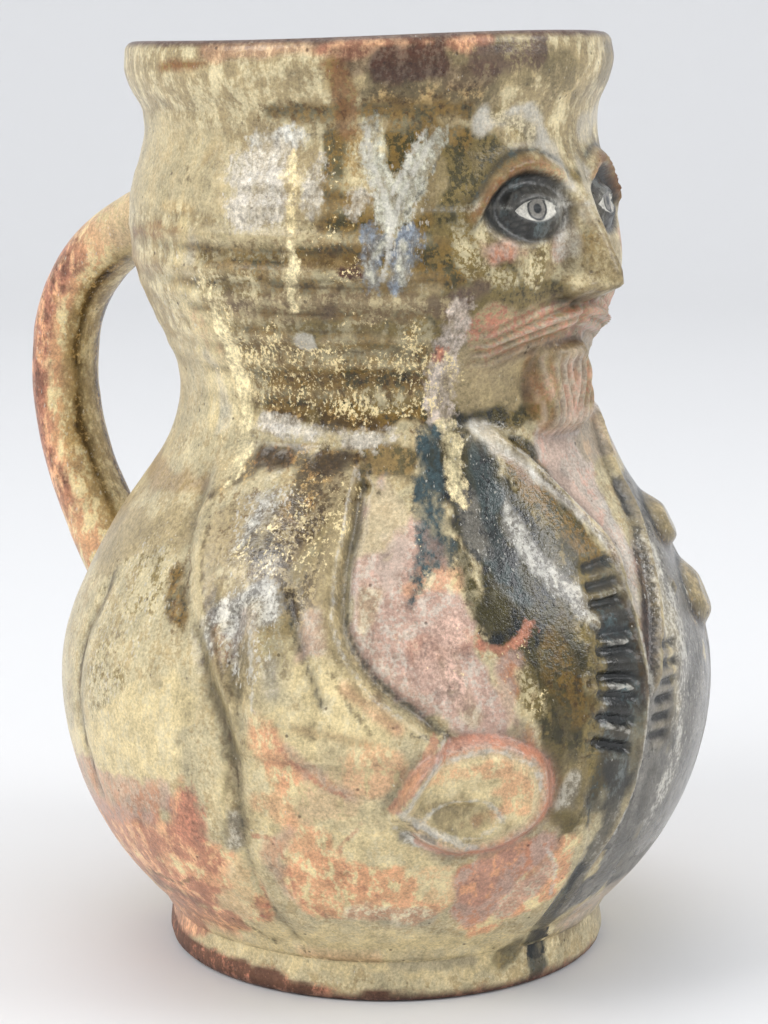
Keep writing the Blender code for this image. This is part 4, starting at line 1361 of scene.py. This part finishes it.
class PITCHER_OT_handle(bpy.types.Operator):
    """Model the strap handle between its two roots and lay its glaze"""

    bl_idname = "pitcher.handle"
    bl_label = "Handle"

    def execute(self, context):
        """An oval section carried square to a smooth path, wider where it is pressed on the wall."""
        sizes = in_mm(context.scene.pitcher_sizes)
        ends = np.array((sizes.strap_foot, sizes.strap_top))
        lower, upper = plain_radius(ends, sizes) + neck_lean(ends, sizes) - STRAP_SINK * sizes.wall
        rise, out, swelling = (np.array(column) for column in zip(*STRAP))
        near = lower + (upper - lower) * rise
        knots_y = near + (sizes.strap_reach - near) * out
        knots_z = sizes.strap_foot + (sizes.strap_top - sizes.strap_foot) * rise
        along = np.concatenate([[0], np.cumsum(np.hypot(np.diff(knots_y), np.diff(knots_z)))])
        at = np.linspace(0, along[-1], STRAP_ROWS)
        y = spline(at, along, knots_y)
        z = spline(at, along, knots_z)
        size = spline(at, along, swelling)
        slope_y = np.gradient(y, at)
        slope_z = np.gradient(z, at)
        speed = np.hypot(slope_y, slope_z)
        out_y = (-slope_z / speed)[:, None]
        out_z = (slope_y / speed)[:, None]

        turn = np.linspace(0, 2 * math.pi, STRAP_COLUMNS, endpoint=False)
        at_grid, turn = np.meshgrid(at, turn, indexing="ij")
        lump = 0.22 * lattice_noise(at_grid / 14, 1.4 * np.cos(turn), 1.4 * np.sin(turn), 51)
        lump = lump + 0.10 * lattice_noise(at_grid / 4, 3 * np.cos(turn), 3 * np.sin(turn), 52)
        middle = np.stack([np.zeros(STRAP_ROWS), y, z], -1)[:, None]
        u = (sizes.strap_thickness / 2 * size[:, None] + lump) * np.cos(turn)
        v = (sizes.strap_width / 2 * size[:, None] + lump) * np.sin(turn)
        points = middle + np.stack([v, u * out_y, u * out_z], -1)
        caps = [np.repeat(middle[[end]], STRAP_COLUMNS, 1) for end in (0, -1)]
        piece = sheet("handle", np.concatenate([caps[0], points, caps[1]]) * MM)

        at_grid = np.concatenate([at_grid[:1], at_grid, at_grid[-1:]])
        outer = np.cos(turn[[0, *range(STRAP_ROWS), -1]])
        side = np.sin(turn[[0, *range(STRAP_ROWS), -1]])
        share = at_grid / along[-1]
        wobble = lattice_noise(at_grid / 9, 2 * outer, 2 * side, 53)
        fine = lattice_noise(at_grid / 2.6, 7 * outer, 7 * side, 54)
        glaze = Glaze(context.scene.pitcher_glaze, share.shape, "ochre")
        glaze.lay("stone", 0.25 + 0.35 * ease(-0.3, 0.3, wobble))
        glaze.lay("salmon", 0.75 * ease(-0.75, -0.45, outer + 0.2 * wobble))
        rim = ease(-0.38, -0.12, outer + 0.14 * wobble + 0.14 * fine) * ease(0.18, 0.3, share)
        rim = rim * ease(0.86, 0.7, share)
        glaze.lay("brick", 0.95 * rim)
        glaze.lay("oxblood", 0.5 * rim * ease(0, 0.4, fine + 0.5 * wobble))
        streak = bell(np.abs(side) - 0.42 + 0.16 * wobble, 0.17) * ease(-0.5, -0.8, outer)
        inner = ease(0.35, 0.80, streak + 0.25 * fine)
        inner = inner * band(share, 0.1, 0.22, 0.72, 0.92)
        glaze.lay("golden", 0.5 * ease(0.1, 0.5, streak))
        glaze.lay("bark", 0.9 * inner)
        glaze.lay("stone", 0.7 * ease(-0.9, -0.98, outer))
        glaze.lay("cream", 0.7 * ease(0.26, 0.12, share))
        glaze.keep(piece)
        for name in (*CRISP_POOLS, "lines", "eyes"):
            store(piece, name, np.full(share.shape + (4,), FAR_OUTSIDE))
        mottle = 0.45 * np.maximum(rim, inner) + 0.2
        finish = (0.15 + 0.2 * inner, 0.25 + 0 * share, mottle, 0.30 - 0.08 * inner)
        store(piece, "finish", np.stack(finish, -1))
        piece.data.materials.append(ash_glaze())
        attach(piece, "root")
        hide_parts("pitcher")
        return {"FINISHED"}


def result(node):
    """The socket that carries what a node works out: the first one in use."""
    return next(socket for socket in node.outputs if socket.enabled)


def add_node(tree, kind, inputs, **settings):
    """Add a shader node, set its properties, and set or link its inputs; a node stands for its result."""
    node = tree.nodes.new("ShaderNode" + kind)
    for name, value in settings.items():
        setattr(node, name, value)
    for name, value in inputs.items():
        if isinstance(value, bpy.types.Node):
            value = result(value)
        if isinstance(value, bpy.types.NodeSocket):
            tree.links.new(value, node.inputs[name])
        else:
            node.inputs[name].default_value = value
    return node


# Sockets and settings of the Mix node when it mixes or darkens colours.
FIRST, SECOND = 6, 7
COLOURS = {"data_type": "RGBA"}
DARKENING = {"data_type": "RGBA", "blend_type": "MULTIPLY"}

# What darkening multiplies the glaze by: under clouds of iron, at the rims of pools, in pinholes.
IRON_TINT = (0.36, 0.27, 0.16, 1.0)
RIM_TINT = (0.45, 0.32, 0.2, 1.0)
PINHOLE_TINT = (0.12, 0.09, 0.06, 1.0)

# Edges of the crisp pools: attribute, mm that noise moves them, mm of softness, darkness of the rim.
POOL_EDGES = (("pool", 13.0, 1.6, 0.0), ("run", 11.0, 1.0, 0.25), ("drip", 10.0, 1.8, 0.15))

# What a Math node does with its inputs: first times second, and then plus the third.
TIMES = {"operation": "MULTIPLY"}
SUM = {"operation": "MULTIPLY_ADD"}
CLAMPED_SUM = {"operation": "MULTIPLY_ADD", "use_clamp": True}


def per_metre(size):
    """Scale of a pattern on Object coordinates whose features are size mm across."""
    return 1.0 / (size * MM)


def ash_glaze():
    """Wood-ash glaze fired on brown stoneware: glossy pools with ragged edges, dry pale areas between
    them, crystals and cream specks floating on top, iron breaking through and a few burst pinholes."""
    name = "wood_ash_glaze_on_stoneware"
    if name in bpy.data.materials:
        return bpy.data.materials[name]
    colours = bpy.context.scene.pitcher_glaze
    material = bpy.data.materials.new(name)
    material.use_nodes = True
    tree = material.node_tree
    add = functools.partial(add_node, tree)
    shader = tree.nodes["Principled BSDF"]
    place = add("TexCoord", {}).outputs["Object"]
    coarse = add("TexNoise", {"Vector": place, "Scale": per_metre(7.0), "Detail": 3.0})
    ragged = add("TexNoise", {"Vector": place, "Scale": per_metre(2.4), "Detail": 4.0, "Roughness": 0.65})
    grain = add("TexNoise", {"Vector": place, "Scale": per_metre(0.8), "Detail": 2.0, "Roughness": 0.7})
    finish = add("Attribute", {}, attribute_name="finish")
    amounts = add("SeparateColor", {"Color": finish})

    # The ground glaze and what it breaks to: broad clouds drawn out down the pot, or fine specks.
    ground = add("Attribute", {}, attribute_name="ground")
    under = add("Attribute", {}, attribute_name="under")
    run = add("Mapping", {"Vector": place, "Scale": (1.0, 1.0, 0.45)})
    broad = add("TexNoise", {"Vector": run, "Scale": per_metre(4.0), "Detail": 6.0, "Roughness": 0.68})
    fine = add("TexNoise", {"Vector": place, "Scale": per_metre(1.4), "Detail": 3.0, "Roughness": 0.7})
    share_fine = add("Math", {0: under.outputs["Alpha"], 1: 0.65}, **TIMES)
    broken = add("Mix", {0: share_fine, 2: broad, 3: fine})
    shown = add("Math", {0: ground.outputs["Alpha"], 1: 3.2, 2: -7.6}, **SUM)
    shown = add("Math", {0: broken, 1: 13.0, 2: shown}, **CLAMPED_SUM)
    base = add("Mix", {0: shown, FIRST: ground, SECOND: under}, **COLOURS)

    # Iron breaks through in small dark clouds.
    clouds = add("Math", {0: ragged, 1: 9.0, 2: -4.7}, **CLAMPED_SUM)
    clouds = add("Math", {0: clouds, 1: amounts.outputs["Blue"]}, **TIMES)
    base = add("Mix", {0: clouds, FIRST: base, SECOND: IRON_TINT}, **DARKENING)

    # Crisp pools: how far inside, made ragged by noise, against the width of the edge.
    torn = add("Mix", {0: 0.45, 2: ragged, 3: broad})
    for attribute, reach, edge, rim in POOL_EDGES:
        pool = add("Attribute", {}, attribute_name=attribute)
        wander = add("Math", {0: torn, 1: reach, 2: pool.outputs["Alpha"]}, **SUM)
        inside = add("Math", {0: wander, 1: 0.5 * reach}, operation="SUBTRACT")
        share = add("Math", {0: inside, 1: 1.0 / edge, 2: 0.5}, **CLAMPED_SUM)
        rimmed = add("Math", {0: inside}, operation="ABSOLUTE")
        rimmed = add("Math", {0: rimmed, 1: -1.0 / edge, 2: 1.0}, **CLAMPED_SUM)
        rimmed = add("Math", {0: rimmed, 1: rim}, **TIMES)
        depth = add("Math", {0: fine, 1: 2.4, 2: -0.25}, **SUM)
        depth = add("VectorMath", {0: pool, "Scale": depth}, operation="SCALE")
        thick = add("Math", {0: broad, 1: 3.2, 2: -0.80}, **CLAMPED_SUM)
        thick = add("Math", {0: share, 1: thick}, **TIMES)
        filled = add("Mix", {0: thick, FIRST: base, SECOND: depth}, **COLOURS)
        base = add("Mix", {0: rimmed, FIRST: filled, SECOND: RIM_TINT}, **DARKENING)

    # Thin lines broken up by the ragged noise, then the eyes with clean edges.
    uneven = add("Math", {0: ragged, 1: 4.2, 2: -1.6}, **SUM)
    for attribute, slope, offset, share, tints in (
            ("lines", 1.4, uneven, 0.62, (colours.ink, colours.bark, colours.chalk, colours.brick)),
            ("eyes", 2.5, 0.5, 1.0, (colours.chalk, colours.ink, colours.slate, colours.ink))):
        field = add("Attribute", {}, attribute_name=attribute)
        split = add("SeparateColor", {"Color": field})
        for reach, tint in zip((*split.outputs, field.outputs["Alpha"]), tints):
            shown = add("Math", {0: reach, 1: slope, 2: offset}, **CLAMPED_SUM)
            shown = add("Math", {0: shown, 1: share}, **TIMES)
            base = add("Mix", {0: shown, FIRST: base, SECOND: (*tint, 1.0)}, **COLOURS)

    # Noise stretched down the pot, for specks and crystals.
    needles = add("TexNoise", {"Vector": run, "Scale": per_metre(0.9), "Detail": 2.0, "Roughness": 0.6})

    # Cream specks, gathered by the coarse noise.
    gathered = add("Math", {0: needles, 1: grain}, operation="ADD")
    gathered = add("Math", {0: coarse, 1: 0.7, 2: gathered}, **SUM)
    specks = add("Math", {0: amounts.outputs["Red"], 1: 0.52, 2: gathered}, **SUM)
    specks = add("Math", {0: specks, 1: 8.0, 2: -14.9}, **CLAMPED_SUM)
    specks = add("Math", {0: specks, 1: 0.85}, **TIMES)
    base = add("Mix", {0: specks, FIRST: base, SECOND: (*colours.straw, 1.0)}, **COLOURS)

    # White crystals stretched down the pot.
    white = add("Math", {0: amounts.outputs["Green"], 1: 0.24, 2: needles}, **SUM)
    white = add("Math", {0: white, 1: 14.0, 2: -9.9}, **CLAMPED_SUM)
    white = add("Math", {0: white, 1: 0.55}, **TIMES)
    base = add("Mix", {0: white, FIRST: base, SECOND: (*colours.chalk, 1.0)}, **COLOURS)

    # Light and dark: an even grain on clouds of 4 and 7 mm.
    depth = add("Math", {0: broad, 1: 1.35, 2: -0.75}, **SUM)
    depth = add("Math", {0: coarse, 1: 1.0, 2: depth}, **SUM)
    shade = add("Math", {0: grain, 1: 1.2, 2: depth}, **SUM)
    base = add("VectorMath", {0: base, "Scale": shade}, operation="SCALE")

    # Pinholes: one dark dot in some cells of a 4 mm net.
    cells = add("TexVoronoi", {"Vector": place, "Scale": per_metre(4.6)})
    chosen = add("SeparateColor", {"Color": cells.outputs["Color"]})
    chosen = add("Math", {0: chosen.outputs["Red"], 1: 0.72}, operation="GREATER_THAN")
    dot = add("Math", {0: cells, 1: -16.0, 2: 2.0}, **CLAMPED_SUM)
    dot = add("Math", {0: dot, 1: chosen}, **TIMES)
    dotted = add("Math", {0: dot, 1: 0.7}, **TIMES)
    base = add("Mix", {0: dotted, FIRST: base, SECOND: PINHOLE_TINT}, **DARKENING)

    # Gloss: the finish attribute, made uneven by the ragged noise.
    rough = add("Math", {0: ragged, 1: 0.24, 2: finish.outputs["Alpha"]}, **CLAMPED_SUM)
    rough = add("Math", {0: rough, 1: 0.10}, operation="SUBTRACT", use_clamp=True)
    shader.inputs["IOR"].default_value = 1.5

    # Fine relief of the glaze: grain, lumps and the pinholes.
    height = add("Math", {0: ragged, 1: 1.6, 2: grain}, **SUM)
    height = add("Math", {0: dot, 1: -1.4, 2: height}, **SUM)
    bump = add("Bump", {"Height": height, "Strength": 0.55, "Distance": 0.20 * MM})
    for name, node in (("Base Color", base), ("Roughness", rough), ("Normal", bump)):
        tree.links.new(result(node), shader.inputs[name])
    return material


def pale_cloth():
    """Plain pale studio covering: matt, and evenly coloured."""
    material = bpy.data.materials.new("matt_studio_covering")
    material.use_nodes = True
    shader = material.node_tree.nodes["Principled BSDF"]
    shader.inputs["Base Color"].default_value = (*bpy.context.scene.pitcher_stage.floor, 1.0)
    shader.inputs["Roughness"].default_value = 0.9
    shader.inputs["Specular IOR Level"].default_value = 0.1
    return material


# Soft lights: name, place in metres, side in metres, watts.
LIGHTS = (("key_light", (-1.30, 0.55, 1.15), 0.7, 12.0), ("fill_light", (0.40, -1.30, 1.10), 0.6, 7.5),
          ("top_light", (0.2, 0.3, 2.1), 1.4, 8.0))


def soft_box(name, place, size, power):
    """A square soft light at a place, turned to the middle of the pitcher."""
    light = bpy.data.lights.new(name, "AREA")
    light.size = size
    light.energy = power
    lamp = bpy.data.objects.new(name, light)
    lamp.location = place
    away = np.array(place) - np.array((0, 0, 0.12))
    lamp.rotation_euler = (math.atan2(math.hypot(away[0], away[1]), away[2]), 0,
                           math.atan2(away[1], away[0]) + math.pi / 2)
    lamp.visible_camera = False
    bpy.context.scene.collection.objects.link(lamp)


class PITCHER_OT_stage(bpy.types.Operator):
    """Lay the pale floor and backdrop, and set the studio light and the camera"""

    bl_idname = "pitcher.stage"
    bl_label = "Stage"

    def execute(self, context):
        """The floor is a turned profile: flat, then a quarter circle, then an upright wall all round."""
        settings = context.scene.pitcher_stage
        bend = settings.wall_radius - settings.floor_radius
        arc = np.linspace(0, math.pi / 2, 13)
        r = np.concatenate([[0, 0.5, 1], settings.floor_radius + bend * np.sin(arc), [settings.wall_radius]])
        z = np.concatenate([[0, 0, 0], bend - bend * np.cos(arc), [settings.wall_height]]) - FLOOR_GAP * MM
        turn = np.linspace(0, 2 * math.pi, 97)[:-1]
        points = np.stack([r[:, None] * np.cos(turn), r[:, None] * np.sin(turn), z[:, None] + 0 * turn], -1)
        floor = sheet("floor_and_backdrop", points, closed=False)
        floor.data.materials.append(pale_cloth())

        world = bpy.data.worlds.new("studio")
        world.use_nodes = True
        world.node_tree.nodes["Background"].inputs["Color"].default_value = (1, 1, 1, 1)
        world.node_tree.nodes["Background"].inputs["Strength"].default_value = 0.95
        context.scene.world = world
        context.scene.view_settings.view_transform = "Standard"
        for light in LIGHTS:
            soft_box(*light)

        camera = bpy.data.cameras.new("photo_camera")
        camera.lens = settings.lens
        view = bpy.data.objects.new("photo_camera", camera)
        away = settings.camera_distance
        around = settings.camera_azimuth
        view.location = (-away * math.sin(around), -away * math.cos(around), settings.camera_height)
        view.rotation_euler = (math.pi / 2 - settings.camera_pitch, 0, settings.camera_turn - around)
        context.scene.collection.objects.link(view)
        context.scene.camera = view
        return {"FINISHED"}


class PITCHER_PT_sidebar(bpy.types.Panel):
    """Buttons and settings for the pitcher"""

    bl_label = "Figural face pitcher"
    bl_idname = "PITCHER_PT_sidebar"
    bl_space_type = "VIEW_3D"
    bl_region_type = "UI"
    bl_category = "Pitcher"

    def draw(self, context):
        for operator in OPERATORS:
            self.layout.operator(operator.bl_idname)
        scene = context.scene
        for settings in (scene.pitcher_sizes, scene.pitcher_glaze, scene.pitcher_stage):
            box = self.layout.box()
            for name in settings.__annotations__:
                box.prop(settings, name)


OPERATORS = (PITCHER_OT_body, PITCHER_OT_handle, PITCHER_OT_stage)
CLASSES = (PitcherSizes, GlazeColours, StageSettings, *OPERATORS, PITCHER_PT_sidebar)


def register():
    """Make the settings, operators and panel known."""
    for cls in CLASSES:
        bpy.utils.register_class(cls)
    bpy.types.Scene.pitcher_sizes = bpy.props.PointerProperty(type=PitcherSizes)
    bpy.types.Scene.pitcher_glaze = bpy.props.PointerProperty(type=GlazeColours)
    bpy.types.Scene.pitcher_stage = bpy.props.PointerProperty(type=StageSettings)


def unregister():
    """Take them away again."""
    del bpy.types.Scene.pitcher_stage
    del bpy.types.Scene.pitcher_glaze
    del bpy.types.Scene.pitcher_sizes
    for cls in reversed(CLASSES):
        bpy.utils.unregister_class(cls)


def main():
    """Build the pitcher round the frame: body, handle and stage."""
    register()
    bpy.ops.pitcher.body()
    bpy.ops.pitcher.handle()
    bpy.ops.pitcher.stage()


if __name__ == "__main__":
    main()
